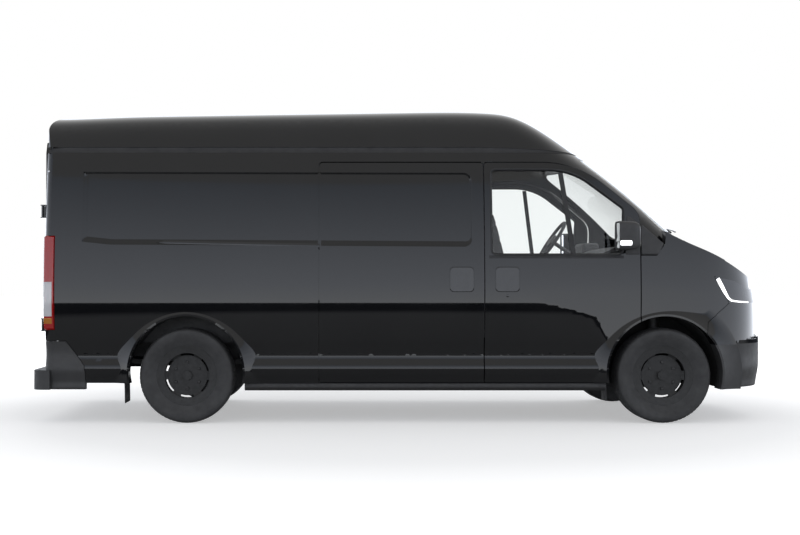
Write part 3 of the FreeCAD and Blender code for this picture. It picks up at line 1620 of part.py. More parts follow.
export("floor_pan", floor_pan())
export("chassis_frame", chassis_frame())
export("engine_block", engine_block())
export("front_structure", front_structure())
export("side_panel_right", join([side_panel(True)] + rear_hinge_lugs()))
export("side_panel_left", across(join([side_panel(False)] + rear_hinge_lugs())))
export("sliding_door", sliding_door())
export("roof_cap", roof_cap())
export("cab_frame", cab_frame())
export("windscreen", windscreen())
export("cowl", cowl())
export("bulkhead", bulkhead())
both("fender", fender())
export("front_fascia", front_fascia())
export("grille", grille())
export("bumper_lower", bumper_lower())
both("headlamp", headlamp())
export("rear_bumper", rear_bumper())
both("tail_lamp", tail_lamp())
export("dashboard", dashboard())
export("seat_plinth", seat_plinth())
export("seat_driver", seat(seat_y, seat_width, [seat_y]))
export("seat_passenger", seat(bench_y, bench_width, [bench_y - bench_width / 4,
                                                      bench_y + bench_width / 4]))
export("steering_wheel", steering_wheel())
export("front_suspension", front_suspension())
export("rear_axle", rear_axle())
both("knuckle", knuckle())
export("hood", hood())
both("door_front", front_door())
both("door_glass", door_glass())
both("mirror", mirror())
both("rear_door", rear_door())
for place, wheel_x in (("front", front_axle_x), ("rear", rear_axle_x)):
    both("rim_" + place, rim(wheel_x))
    both("tyre_" + place, tyre(wheel_x))
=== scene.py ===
"""Looks of a black high-roof panel van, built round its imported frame.

Everything is in metres in the frame's own axes: +X is the way the van drives, +Y its left side,
+Z up.  The right side (-Y) faces the camera.
"""
import math

import bmesh
import bpy
import numpy as np
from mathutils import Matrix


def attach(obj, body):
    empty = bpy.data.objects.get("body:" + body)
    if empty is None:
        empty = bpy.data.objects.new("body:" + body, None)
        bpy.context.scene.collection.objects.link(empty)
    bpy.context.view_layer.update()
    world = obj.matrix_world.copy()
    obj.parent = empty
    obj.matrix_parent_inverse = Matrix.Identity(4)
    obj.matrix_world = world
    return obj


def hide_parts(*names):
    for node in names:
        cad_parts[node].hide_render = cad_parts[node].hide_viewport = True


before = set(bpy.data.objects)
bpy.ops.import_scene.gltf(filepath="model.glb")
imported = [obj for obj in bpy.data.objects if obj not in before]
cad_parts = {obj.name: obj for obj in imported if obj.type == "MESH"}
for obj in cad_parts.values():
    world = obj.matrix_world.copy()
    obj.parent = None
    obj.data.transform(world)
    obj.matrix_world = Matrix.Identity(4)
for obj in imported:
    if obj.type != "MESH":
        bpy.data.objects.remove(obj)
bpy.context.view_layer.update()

# Body sizes in metres. A "d" is a distance measured forward from the rear axle.
REAR_AXLE, FRONT_AXLE = -1.6625, 1.9075
AXLE_Z, WHEEL_Y = 0.356, 0.86
DOOR_FRONT = 3.390
REAR_FACE = -2.7235
SHOULDER_Z, GUTTER_Z = 0.909, 2.030
HALF_WIDTH = 1.012
ROOF_LEAN = 0.107
SILL_TUCK, SILL_TUCK_SPAN = 0.050, 0.410
SILL_FLARE, FLARE_TOP_Z, FLARE_SPAN = 0.045, 0.520, 0.125
PLAN_LENGTH_POWER, PLAN_WIDTH_POWER = 2.4, 3.615
NOSE_X, NOSE_FULL_Z = 2.8125, 0.530
NOSE_LEAN, NOSE_LEAN_SPAN = 0.057, 0.466
NOSE_TUCK, NOSE_TUCK_SPAN = 0.020, 0.230
CANOPY_DEPTH = 0.900
CANOPY_ACROSS_POWER, CANOPY_UP_POWER = 5.0, 9.0
CANOPY_BOW, CANOPY_BOW_START, CANOPY_BOW_SPAN = 0.120, 2.300, 0.800
CANOPY_SIDE_Z = 2.1
HOOD_CROWN = 0.078
SIDES = {"right": -1.0, "left": 1.0}


def along(d):
    """Place on X of a distance from the rear axle."""
    return REAR_AXLE + d


def ease(t):
    """0 below 0, 1 above 1 and smooth between: t t (3 - 2 t)."""
    t = np.clip(t, 0.0, 1.0)
    return t * t * (3 - 2 * t)


def nose_at(z):
    """Nose's centre line: a power curve leaning back above its fullest height and a square curve
    tucking in below it."""
    high = NOSE_X - NOSE_LEAN * (np.maximum(z - NOSE_FULL_Z, 0) / NOSE_LEAN_SPAN) ** 1.6
    return high - NOSE_TUCK * (np.maximum(NOSE_FULL_Z - z, 0) / NOSE_TUCK_SPAN) ** 2


def section_half_width(z):
    """Half width by height: a power curve leaning in above the shoulder and another below it,
    which flares out again towards the sill."""
    rise = np.maximum(z - SHOULDER_Z, 0) / (GUTTER_Z - SHOULDER_Z)
    drop = np.maximum(SHOULDER_Z - z, 0) / SILL_TUCK_SPAN
    flare = np.where(z < SHOULDER_Z, SILL_FLARE * ease((FLARE_TOP_Z - z) / FLARE_SPAN), 0.0)
    return HALF_WIDTH - ROOF_LEAN * rise ** 1.8 - SILL_TUCK * drop ** 1.6 + flare


def half_width(x, z):
    """Half width of the side skin: the section times a superellipse from door to nose."""
    start = along(DOOR_FRONT)
    reach = np.clip((x - start) / (nose_at(z) - start), 0.0, 1.0)
    plan = np.maximum(1 - reach ** PLAN_LENGTH_POWER, 0.0) ** (1 / PLAN_WIDTH_POWER)
    return section_half_width(z) * plan


def cubic_line(points):
    """Natural cubic spline through (x, y) points: solves for the second derivatives."""
    xs, ys = np.array(points, float).T
    step = np.diff(xs)
    system = np.eye(len(xs))
    pull = np.zeros(len(xs))
    inner = np.arange(1, len(xs) - 1)
    system[inner, inner - 1] = step[:-1]
    system[inner, inner] = 2 * (step[:-1] + step[1:])
    system[inner, inner + 1] = step[1:]
    pull[inner] = 6 * np.diff(np.diff(ys) / step)
    bend = np.linalg.solve(system, pull)

    def value(x):
        x = np.asarray(x, float)
        i = np.clip(np.searchsorted(xs, x) - 1, 0, len(step) - 1)
        a = (xs[i + 1] - x) / step[i]
        b = 1 - a
        bow = ((a ** 3 - a) * bend[i] + (b ** 3 - b) * bend[i + 1]) * step[i] ** 2 / 6
        return a * ys[i] + b * ys[i + 1] + bow

    return value


CANOPY_POINTS = [(-1.180, 2.339), (0.0, 2.368), (1.200, 2.386), (2.067, 2.395), (2.299, 2.388),
                 (2.467, 2.364), (2.600, 2.317), (2.852, 2.177), (3.105, 2.000), (3.358, 1.802),
                 (3.736, 1.473), (3.909, 1.322)]
HOOD_POINTS = [(3.300, 1.610), (3.560, 1.515), (3.755, 1.422), (3.845, 1.384), (4.035, 1.294),
               (4.225, 1.182), (4.352, 1.092), (4.420, 1.022), (4.500, 0.930)]
canopy_line = cubic_line([(along(d), z) for d, z in CANOPY_POINTS])
hood_line = cubic_line([(along(d), z) for d, z in HOOD_POINTS])


def canopy_bow(x):
    """How far a section of the canopy is bowed back at its sides, which grows over the windscreen."""
    return CANOPY_BOW * ease((x - along(CANOPY_BOW_START)) / CANOPY_BOW_SPAN)


def canopy_spot(x, turn, inset=0.0):
    """Point of the canopy: a superellipse section under the centre line, bowed back at its sides."""
    side = np.abs(np.sin(turn)) ** (2 / CANOPY_ACROSS_POWER)
    rise = np.maximum(np.cos(turn), 0.0) ** (2 / CANOPY_UP_POWER)
    z = canopy_line(x) - inset - CANOPY_DEPTH * (1 - rise)
    wide = half_width(x, z) - inset
    return np.stack([x - canopy_bow(x) * side * side, np.sign(turn) * side * wide, z], -1)


def canopy_turn(y, wide, least=1e-6):
    """Share of the canopy's half width at y, and the section's parameter there."""
    share = np.clip(np.abs(y) / np.maximum(wide, least), 0, 0.9999)
    return share, np.arcsin(share ** (CANOPY_ACROSS_POWER / 2))


def canopy_place(x, y):
    """Parameters (x, turn) of the canopy under a point, found by a few rounds of correction."""
    u = np.array(x, float)
    for _ in range(12):
        turn = canopy_turn(y, half_width(u, CANOPY_SIDE_Z))[1]
        rise = np.maximum(np.cos(turn), 0) ** (2 / CANOPY_UP_POWER)
        share, turn = canopy_turn(y, half_width(u, canopy_line(u) - CANOPY_DEPTH * (1 - rise)), 1e-3)
        u = x + canopy_bow(u) * share ** 2
    return u, turn * np.where(y < 0, -1.0, 1.0)


def unit(rows):
    """Rows of vectors scaled to length 1."""
    return rows / np.maximum(np.linalg.norm(rows, axis=-1, keepdims=True), 1e-12)


FADE_LINE = [(0.50, 1.46), (0.61, 1.42), (0.80, 1.33), (0.85, 1.17), (0.91, 0.95)]
FADE_SPAN = 0.09
FADED_Z = 0.975


def side_normal(p):
    """Outward normal of the side skin: gradient of |y| - half_width(x, z). Ahead of a slanted line
    of (z, x) points on the fender, where the shoulder fades out, the height is read no lower than
    just above the shoulder."""
    e = 1e-4
    start = np.interp(p[:, 2], *np.array(FADE_LINE).T)
    z = p[:, 2] + ease((p[:, 0] - start) / FADE_SPAN) * np.maximum(FADED_Z - p[:, 2], 0)
    dx = (half_width(p[:, 0] + e, z) - half_width(p[:, 0] - e, z)) / (2 * e)
    dz = (half_width(p[:, 0], z + e) - half_width(p[:, 0], z - e)) / (2 * e)
    return unit(np.stack([-dx, np.where(p[:, 1] < 0, -1.0, 1.0), -dz], -1))


def canopy_normal(p):
    """Outward normal of the canopy: cross product of its two tangents."""
    u, turn = canopy_place(p[:, 0], p[:, 1])
    e = 1e-3
    across = canopy_spot(u, turn + e) - canopy_spot(u, turn - e)
    ahead = canopy_spot(u + e, turn) - canopy_spot(u - e, turn)
    return unit(np.cross(ahead, across))


def canopy_height(p):
    """Height of the canopy over each point."""
    u, turn = canopy_place(p[:, 0], p[:, 1])
    return canopy_spot(u, turn)[:, 2]


def hood_height(p):
    """Height of the hood's crowned surface."""
    return hood_line(p[:, 0]) - HOOD_CROWN * (p[:, 1] / HALF_WIDTH) ** 2


def hood_normal(p):
    """Outward normal of the hood: gradient of z - height."""
    e = 1e-4
    step = np.array([e, 0, 0])
    dx = (hood_height(p + step) - hood_height(p - step)) / (2 * e)
    dy = -2 * HOOD_CROWN * p[:, 1] / HALF_WIDTH ** 2
    return unit(np.stack([-dx, -dy, np.ones(len(p))], -1))


# Materials

def new_material(name):
    """Material with its node tree and its shader."""
    made = bpy.data.materials.new(name)
    made.use_nodes = True
    tree = made.node_tree
    return made, tree, tree.nodes["Principled BSDF"]


def settle(node, values):
    """Set a node's own sockets by their names."""
    for socket, value in values.items():
        node.inputs[socket].default_value = value


def object_place(tree):
    """Object coordinates."""
    return tree.nodes.new("ShaderNodeTexCoord").outputs["Object"]


def object_noise(tree, scale, detail, stretch=(1, 1, 1)):
    """Noise on Object coordinates, optionally stretched."""
    turn = tree.nodes.new("ShaderNodeMapping")
    settle(turn, {"Scale": stretch})
    noise = tree.nodes.new("ShaderNodeTexNoise")
    settle(noise, {"Scale": scale, "Detail": detail, "Roughness": 0.55})
    tree.links.new(object_place(tree), turn.inputs["Vector"])
    tree.links.new(turn.outputs["Vector"], noise.inputs["Vector"])
    return noise.outputs["Fac"]


def object_ribs(tree, scale):
    """Even ribs on Object coordinates."""
    ribs = tree.nodes.new("ShaderNodeTexWave")
    settle(ribs, {"Scale": scale})
    tree.links.new(object_place(tree), ribs.inputs["Vector"])
    return ribs.outputs["Fac"]


def combine(tree, operation, first, second):
    """One number worked out from two outputs."""
    node = tree.nodes.new("ShaderNodeMath")
    node.operation = operation
    tree.links.new(first, node.inputs[0])
    tree.links.new(second, node.inputs[1])
    return node.outputs[0]


def graded(tree, source, start, end, low=0.0, high=1.0):
    """Number that goes from low to high as a source goes from start to end."""
    node = tree.nodes.new("ShaderNodeMapRange")
    settle(node, {"From Min": start, "From Max": end, "To Min": low, "To Max": high})
    tree.links.new(source, node.inputs["Value"])
    return node.outputs["Result"]


def ramp(tree, source, stops):
    """Colour ramp over a factor; stops are (place, colour or grey)."""
    node = tree.nodes.new("ShaderNodeValToRGB")
    marks = node.color_ramp.elements
    while len(marks) < len(stops):
        marks.new(0.5)
    for mark, (place, tone) in zip(marks, stops):
        mark.position = place
        mark.color = (tone, tone, tone, 1) if isinstance(tone, float) else (*tone, 1)
    tree.links.new(source, node.inputs["Fac"])
    return node.outputs["Color"]


def shade(tree, shader, socket, source, stops):
    """Colour ramp over a factor into one of the shader's sockets."""
    tree.links.new(ramp(tree, source, stops), shader.inputs[socket])


def bump(tree, shader, source, height, distance=0.001):
    """Bump from a factor."""
    node = tree.nodes.new("ShaderNodeBump")
    settle(node, {"Strength": height, "Distance": distance})
    tree.links.new(source, node.inputs["Height"])
    tree.links.new(node.outputs["Normal"], shader.inputs["Normal"])


def black_paint():
    """Deep black gloss paint: faint orange peel and faint clouds of road dust."""
    made, tree, shader = new_material("black_paint")
    settle(shader, {"IOR": 1.36, "Coat Weight": 0.25, "Coat Roughness": 0.02, "Coat IOR": 1.3})
    shade(tree, shader, "Base Color", object_noise(tree, 1.7, 6.0),
          [(0.35, (0.0035, 0.0036, 0.0042)), (0.75, (0.0055, 0.0056, 0.0062))])
    shade(tree, shader, "Roughness", object_noise(tree, 3.1, 5.0), [(0.3, 0.045), (0.8, 0.085)])
    bump(tree, shader, object_noise(tree, 260.0, 2.0), 0.03, 0.0004)
    return made


def grained_plastic(name, dark, light, rough_low, rough_high, grain=900.0, height=0.25):
    """Moulded plastic: fine grain bump, cloudy colour and uneven roughness."""
    made, tree, shader = new_material(name)
    shade(tree, shader, "Base Color", object_noise(tree, 6.0, 7.0), [(0.3, dark), (0.75, light)])
    shade(tree, shader, "Roughness", object_noise(tree, 21.0, 3.0), [(0.3, rough_low), (0.8, rough_high)])
    settle(shader, {"IOR": 1.45})
    bump(tree, shader, object_noise(tree, grain, 2.0), height, 0.0006)
    return made


def tyre_rubber():
    """Tyre rubber: dull black with paler dusty patches and a fine matt grain."""
    made, tree, shader = new_material("tyre_rubber")
    shade(tree, shader, "Base Color", object_noise(tree, 9.0, 8.0),
          [(0.3, (0.020, 0.020, 0.021)), (0.8, (0.042, 0.042, 0.043))])
    shade(tree, shader, "Roughness", object_noise(tree, 30.0, 4.0), [(0.2, 0.62), (0.9, 0.85)])
    bump(tree, shader, object_noise(tree, 700.0, 2.0), 0.35, 0.0005)
    return made


def steel_paint(name, dark, light, rough, metal):
    """Painted or bare steel with soft mottling and small scratches across it."""
    made, tree, shader = new_material(name)
    shade(tree, shader, "Base Color", object_noise(tree, 11.0, 8.0), [(0.3, dark), (0.8, light)])
    settle(shader, {"Metallic": metal})
    shade(tree, shader, "Roughness", object_noise(tree, 40.0, 3.0, (1, 8, 1)),
          [(0.3, rough - 0.08), (0.8, rough + 0.14)])
    bump(tree, shader, object_noise(tree, 420.0, 3.0), 0.12, 0.0005)
    return made


def window_glass(name, tint):
    """Car glass: thin tinted pane with a trace of ripple."""
    made, tree, shader = new_material(name)
    settle(shader, {"Base Color": (*tint, 1), "Transmission Weight": 1.0, "IOR": 1.08, "Roughness": 0.0,
                    "Coat Weight": 0.6, "Coat IOR": 1.4, "Coat Roughness": 0.01})
    bump(tree, shader, object_noise(tree, 0.9, 0.0), 0.01)
    return made


def seat_cloth():
    """Woven seat cloth: crossed threads, darker in their hollows by painted shade, with a soft sheen."""
    made, tree, shader = new_material("seat_cloth")
    place = object_place(tree)
    threads = []
    for rotation in ((0.0, 0.7, 0.8), (0.7, 0.0, 0.0)):
        turn = tree.nodes.new("ShaderNodeMapping")
        settle(turn, {"Rotation": rotation})
        wave = tree.nodes.new("ShaderNodeTexWave")
        settle(wave, {"Scale": 130.0, "Distortion": 0.6})
        tree.links.new(place, turn.inputs["Vector"])
        tree.links.new(turn.outputs["Vector"], wave.inputs["Vector"])
        threads.append(wave.outputs["Fac"])
    weave_and_hollow_shade = combine(tree, "MULTIPLY", *threads)
    # Colour from the crossed threads: the weave's pattern, with painted shade making it darker where the
    # threads dip.
    shade(tree, shader, "Base Color", weave_and_hollow_shade, [(0.05, (0.030, 0.030, 0.033)), (0.8, (0.085, 0.086, 0.092))])
    settle(shader, {"Roughness": 0.9, "Sheen Weight": 0.35, "Sheen Roughness": 0.5})
    bump(tree, shader, weave_and_hollow_shade, 0.5, 0.0008)
    return made


def lamp_glow(name, colour, strength):
    """Lit lamp strip: even light behind fine ribs."""
    made, tree, shader = new_material(name)
    settle(shader, {"Base Color": (*colour, 1), "Emission Strength": strength, "Roughness": 0.2})
    shade(tree, shader, "Emission Color", object_ribs(tree, 60.0),
          [(0.0, tuple(0.86 * c for c in colour)), (1.0, colour)])
    return made


def lamp_plastic(name, colour):
    """Coloured clear plastic lens with fine prisms."""
    made, tree, shader = new_material(name)
    settle(shader, {"Base Color": (*colour, 1), "Roughness": 0.12, "Transmission Weight": 0.35,
                    "IOR": 1.45})
    bump(tree, shader, object_ribs(tree, 45.0), 0.25)
    return made


def mirror_silver():
    """Silvered mirror glass."""
    made, tree, shader = new_material("mirror_silver")
    settle(shader, {"Base Color": (0.30, 0.31, 0.33, 1), "Metallic": 1.0})
    shade(tree, shader, "Roughness", object_noise(tree, 14.0, 3.0), [(0.3, 0.012), (0.8, 0.04)])
    return made


PAINT = black_paint()
PLASTIC = grained_plastic("moulded_plastic", (0.022, 0.022, 0.023), (0.032, 0.032, 0.033), 0.48, 0.66)
RUBBER = grained_plastic("black_rubber", (0.010, 0.010, 0.011), (0.017, 0.017, 0.018), 0.5, 0.7,
                         500.0, 0.15)
GLOSS_TRIM = grained_plastic("gloss_trim", (0.006, 0.006, 0.007), (0.010, 0.010, 0.011), 0.10, 0.2,
                             300.0, 0.03)
LINER = grained_plastic("liner_felt", (0.008, 0.008, 0.008), (0.014, 0.014, 0.014), 0.8, 0.95, 350.0,
                        0.5)
DASH = grained_plastic("dash_plastic", (0.075, 0.076, 0.080), (0.105, 0.106, 0.112), 0.55, 0.75)
CARD = grained_plastic("grey_trim", (0.16, 0.16, 0.165), (0.21, 0.21, 0.215), 0.6, 0.8)
GRIP = grained_plastic("grey_grip", (0.045, 0.046, 0.048), (0.065, 0.066, 0.069), 0.4, 0.55)
TYRE = tyre_rubber()
WHEEL_STEEL = steel_paint("wheel_steel", (0.006, 0.006, 0.006), (0.010, 0.010, 0.011), 0.62, 0.0)
CHASSIS = steel_paint("chassis_paint", (0.010, 0.010, 0.011), (0.022, 0.021, 0.020), 0.55, 0.1)
CAST = steel_paint("cast_metal", (0.05, 0.05, 0.052), (0.10, 0.10, 0.10), 0.5, 0.7)
BRIGHT = steel_paint("bright_steel", (0.35, 0.35, 0.36), (0.5, 0.5, 0.51), 0.25, 0.95)
PANE = window_glass("window_glass", (0.955, 0.975, 0.970))
SCREEN = window_glass("screen_glass", (0.86, 0.88, 0.88))
CLOTH = seat_cloth()
LIT_WHITE = lamp_glow("lit_white", (1.0, 1.0, 1.0), 1.6)
WHITE_LENS = lamp_plastic("white_lens", (0.75, 0.76, 0.78))
RED_LENS = lamp_plastic("red_lens", (0.45, 0.012, 0.012))
AMBER = lamp_plastic("amber_lens", (0.55, 0.20, 0.02))
CHROME = steel_paint("lamp_bowl", (0.55, 0.55, 0.56), (0.7, 0.7, 0.71), 0.12, 1.0)
SILVER = mirror_silver()
HOUSING = grained_plastic("lamp_housing", (0.020, 0.021, 0.025), (0.034, 0.035, 0.040), 0.12, 0.22,
                          60.0, 0.02)

NODE_FINISH = {
    "floor_pan": CHASSIS, "chassis_frame": CHASSIS, "engine_block": CAST, "front_structure": LINER,
    "bulkhead": CARD, "cowl": PLASTIC, "grille": GLOSS_TRIM, "bumper_lower": PLASTIC,
    "rear_bumper": PLASTIC, "dashboard": DASH, "seat_plinth": CHASSIS, "steering_wheel": DASH,
    "front_suspension": CHASSIS, "rear_axle": CHASSIS, "knuckle_right": CAST, "knuckle_left": CAST,
    "windscreen": SCREEN, "door_glass_right": PANE, "door_glass_left": PANE,
}
for wheel in ("front_right", "front_left", "rear_right", "rear_left"):
    NODE_FINISH["rim_" + wheel] = WHEEL_STEEL
for word in SIDES:
    NODE_FINISH["headlamp_" + word] = HOUSING


def finish_node(node, material):
    """Give a carried-over node its material."""
    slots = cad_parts[node].data.materials
    slots.clear()
    slots.append(material)


for node, material in NODE_FINISH.items():
    finish_node(node, material)


# Painted panels

SHARP_ANGLE = math.radians(35.0)


def new_piece(name, mesh, material):
    """Object for a mesh of one material."""
    mesh.materials.append(material)
    piece = bpy.data.objects.new(name, mesh)
    bpy.context.scene.collection.objects.link(piece)
    return piece


def cleaned(mesh, near=1e-6):
    """Merge a mesh's doubles and turn its faces outwards."""
    shape = bmesh.new()
    shape.from_mesh(mesh)
    bmesh.ops.remove_doubles(shape, verts=shape.verts, dist=near)
    bmesh.ops.recalc_face_normals(shape, faces=shape.faces)
    shape.to_mesh(mesh)
    shape.free()


def all_smooth(mesh):
    """Smooth every face."""
    mesh.polygons.foreach_set("use_smooth", np.ones(len(mesh.polygons), bool))


CREST_CUTS = (0.395, 0.415, 0.440, 0.465, 0.490, 0.508, 0.520, 0.532, 0.560, 0.620, 0.700, 0.780,
              0.840, 0.875, 0.895, 0.903, 0.909, 0.915, 0.925, 0.945, 0.990, 1.06)
LONGEST_EDGE = 0.140


def cut_finer(shape):
    """Cut the faces by level planes about the shoulder's crest, then halve long edges, so that
    normals set at the corners follow the curved skin between them."""
    for level in CREST_CUTS:
        near = [f for f in shape.faces if min(v.co.z for v in f.verts) < level - 1e-4
                and max(v.co.z for v in f.verts) > level + 1e-4]
        if near:
            geom = near + list({e for f in near for e in f.edges})
            geom += list({v for f in near for v in f.verts})
            bmesh.ops.bisect_plane(shape, geom=geom, dist=1e-5, plane_co=(0, 0, level),
                                   plane_no=(0, 0, 1))
    for _ in range(3):
        long = [e for e in shape.edges if e.calc_length() > LONGEST_EDGE]
        bmesh.ops.subdivide_edges(shape, edges=long, cuts=1)
        bmesh.ops.triangulate(shape, faces=[f for f in shape.faces if len(f.verts) > 3])


def finer_copy(node, name, material):
    """Copy of a CAD node whose triangles share their corners and are cut finer."""
    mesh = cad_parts[node].data.copy()
    shape = bmesh.new()
    shape.from_mesh(mesh)
    bmesh.ops.remove_doubles(shape, verts=shape.verts, dist=2e-5)
    cut_finer(shape)
    shape.to_mesh(mesh)
    shape.free()
    mesh.materials.clear()
    all_smooth(mesh)
    return new_piece(name, mesh, material)


# Cosine above which two faces about a corner count as one surface
ONE_SURFACE = 0.90


def area_normals(corners, owner, facing, area):
    """Normal at each corner: the sum, over the faces round its vertex that turn little from its
    own face, of the face's normal times its area."""
    order = np.argsort(corners, kind="stable")
    starts = np.flatnonzero(np.diff(corners[order], prepend=-1))
    counts = np.diff(np.append(starts, len(order)))
    total = facing[owner] * area[owner][:, None]
    summed = total.copy()
    group = np.repeat(np.arange(len(starts)), counts)
    place = np.arange(len(order)) - starts[group]
    for shift in range(1, int(counts.max())):
        other = order[starts[group] + (place + shift) % counts[group]]
        alike = (facing[owner[order]] * facing[owner[other]]).sum(-1) > ONE_SURFACE
        close = alike & (shift < counts[group])
        summed[order[close]] += total[other[close]]
    return unit(summed)


# A face lies along a surface where its corners are level with it and its normal points the same way
LEVEL_SPREAD = 0.0016
DEEPEST_LEVEL = -0.030
SAME_WAY = 0.965


def true_normals(piece, surfaces):
    """Give the faces that lie on a known surface, or parallel to it, that surface's own normals.

    surfaces are (gap, normal) pairs: gap(points) is the distance off the surface and
    normal(points) its outward direction.  Other faces get area-weighted normals."""
    mesh = piece.data
    points = np.empty(len(mesh.vertices) * 3)
    mesh.vertices.foreach_get("co", points)
    points = points.reshape(-1, 3)
    corners = np.empty(len(mesh.loops), int)
    mesh.loops.foreach_get("vertex_index", corners)
    faces = len(mesh.polygons)
    facing = np.empty(faces * 3)
    sizes = np.empty(faces, int)
    area = np.empty(faces)
    mesh.polygons.foreach_get("normal", facing)
    mesh.polygons.foreach_get("loop_total", sizes)
    mesh.polygons.foreach_get("area", area)
    facing = facing.reshape(-1, 3)
    owner = np.repeat(np.arange(faces), sizes)
    wanted = area_normals(corners, owner, facing, np.maximum(area, 1e-9))
    taken = np.zeros(faces, bool)
    for gap, normal in surfaces:
        level = gap(points)[corners]
        high = np.full(faces, -1e9)
        low = np.full(faces, 1e9)
        np.maximum.at(high, owner, level)
        np.minimum.at(low, owner, level)
        there = (high - low < LEVEL_SPREAD) & (low > DEEPEST_LEVEL) & ~taken
        if not there.any():
            continue
        at_corner = normal(points)[corners]
        agree = np.ones(faces, bool)
        np.logical_and.at(agree, owner, (at_corner * facing[owner]).sum(-1) > SAME_WAY)
        there &= agree
        taken |= there
        on = there[owner]
        wanted[on] = at_corner[on]
    mesh.normals_split_custom_set(wanted.tolist())


def side_gap(p):
    """How far points stand off the side skin."""
    return np.abs(p[:, 1]) - half_width(p[:, 0], p[:, 2])


def canopy_gap(p):
    """How far points stand off the canopy."""
    return p[:, 2] - canopy_height(p)


def hood_gap(p):
    """How far points stand off the hood's surface."""
    return p[:, 2] - hood_height(p)


BODY_SURFACES = [(side_gap, side_normal), (canopy_gap, canopy_normal), (hood_gap, hood_normal)]
PAINTED = {
    "side_panel_right": "body", "side_panel_left": "body", "sliding_door": "body",
    "roof_cap": "body", "cab_frame": "body", "fender_right": "body", "fender_left": "body",
    "front_fascia": "body", "hood": "hood", "door_front_right": "door_right",
    "door_front_left": "door_left", "rear_door_right": "tail_door_right",
    "rear_door_left": "tail_door_left",
}


def dress_paint():
    """Painted panels: the CAD's own pieces with the exact normals of the body's surfaces."""
    for node, body in PAINTED.items():
        piece = finer_copy(node, node + "_paint", PAINT)
        true_normals(piece, BODY_SURFACES)
        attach(piece, body)
        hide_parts(node)


dress_paint()


# Shape helpers

def shell(name, grid, body, material, around=(False, False), caps=False):
    """Piece from a grid of points [rows, columns, 3]; around says which ways it closes."""
    rows, columns = grid.shape[:2]
    i = np.arange(rows if around[0] else rows - 1)
    j = np.arange(columns if around[1] else columns - 1)
    i, j = [a.ravel() for a in np.meshgrid(i, j, indexing="ij")]
    i2, j2 = (i + 1) % rows, (j + 1) % columns
    faces = np.stack([i * columns + j, i2 * columns + j, i2 * columns + j2, i * columns + j2], -1)
    faces = faces.tolist()
    if caps:
        faces.append(list(range(columns))[::-1])
        faces.append([(rows - 1) * columns + k for k in range(columns)])
    mesh = bpy.data.meshes.new(name)
    mesh.from_pydata(grid.reshape(-1, 3).tolist(), [], faces)
    cleaned(mesh)
    piece = new_piece(name, mesh, material)
    all_smooth(mesh)
    mesh.set_sharp_from_angle(angle=SHARP_ANGLE)
    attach(piece, body)
    return piece


def spots(x, y, z):
    """Points from three coordinates that broadcast together."""
    return np.stack(np.broadcast_arrays(x, y, z), -1)


def bar(name, path, width, height, body, material, up=(0, 0, 1), power=4.0, count=20):
    """Rounded bar: a superellipse section of width by height carried along a path."""
    path = np.asarray(path, float)
    way = unit(np.gradient(path, axis=0))
    side = unit(np.cross(way, np.asarray(up, float)))
    top = np.cross(side, way)
    turn = np.linspace(0, 2 * np.pi, count, endpoint=False)
    a = np.sign(np.cos(turn)) * np.abs(np.cos(turn)) ** (2 / power) * width / 2
    b = np.sign(np.sin(turn)) * np.abs(np.sin(turn)) ** (2 / power) * height / 2
    grid = path[:, None] + side[:, None] * a[None, :, None] + top[:, None] * b[None, :, None]
    return shell(name, grid, body, material, (False, True), True)


def on_side(x, z, out, side):
    """Points on the side skin, moved out from it."""
    x, z, out = np.broadcast_arrays(np.asarray(x, float), np.asarray(z, float),
                                    np.asarray(out, float))
    y = side * half_width(x, z)
    p = np.stack([x, y, z], -1).reshape(-1, 3)
    return (p + side_normal(p) * out.reshape(-1, 1)).reshape(*x.shape, 3)


def rounded_outline(width, height, radius, count=12):
    """Outline of a rounded rectangle about (0, 0), as (a, b) rows, counter-clockwise."""
    turn = np.linspace(0, np.pi / 2, count)
    rows = []
    for k, (sx, sy) in enumerate(((1, 1), (-1, 1), (-1, -1), (1, -1))):
        t = turn + k * np.pi / 2
        rows.append(np.stack([sx * (width / 2 - radius) + radius * np.cos(t),
                              sy * (height / 2 - radius) + radius * np.sin(t)], -1))
    return np.concatenate(rows)


def plate(name, outline, place, rings, body, material):
    """Raised, dished or turned form: an outline about (0, 0) scaled ring by ring, each ring
    (share, level). place(a, b, level) maps the outline's points and a level to the van."""
    grid = [place(outline[:, 0] * share, outline[:, 1] * share, level) for share, level in rings]
    return shell(name, np.stack(grid), body, material, (False, True), True)


def circle(count):
    """Points round a circle of radius 1."""
    turn = np.linspace(0, 2 * np.pi, count, endpoint=False)
    return np.stack([np.cos(turn), np.sin(turn)], -1)


# Tyres

# The profile's half runs from the tread's middle, share 0, to the bead, share 1.
BEAD_RADIUS, BEAD_HALF = 0.2285, 0.084
WALL_RISE, WALL_BULGE, WALL_TURN = 0.110, 0.0335, 0.62
CROWN_RISE = 0.0175
TREAD_SHARE, WALL_SHARE = 0.58, 0.42
TREAD_HALF, TREAD_FROM = 0.101, 0.335
GROOVES = (-0.066, -0.023, 0.023, 0.066)
GROOVE_HALF, GROOVE_DEPTH = 0.0042, 0.0075
BLOCKS_ROUND = 66
# Thin rings on the sidewall: height, radius and half breadth
WALL_RINGS = ((0.0012, 0.246, 0.004), (0.0008, 0.318, 0.003))
INSIDE = [(0.2285, 0.070), (0.300, 0.088), (0.332, 0.06), (0.332, -0.06), (0.300, -0.088),
          (0.2285, -0.070)]


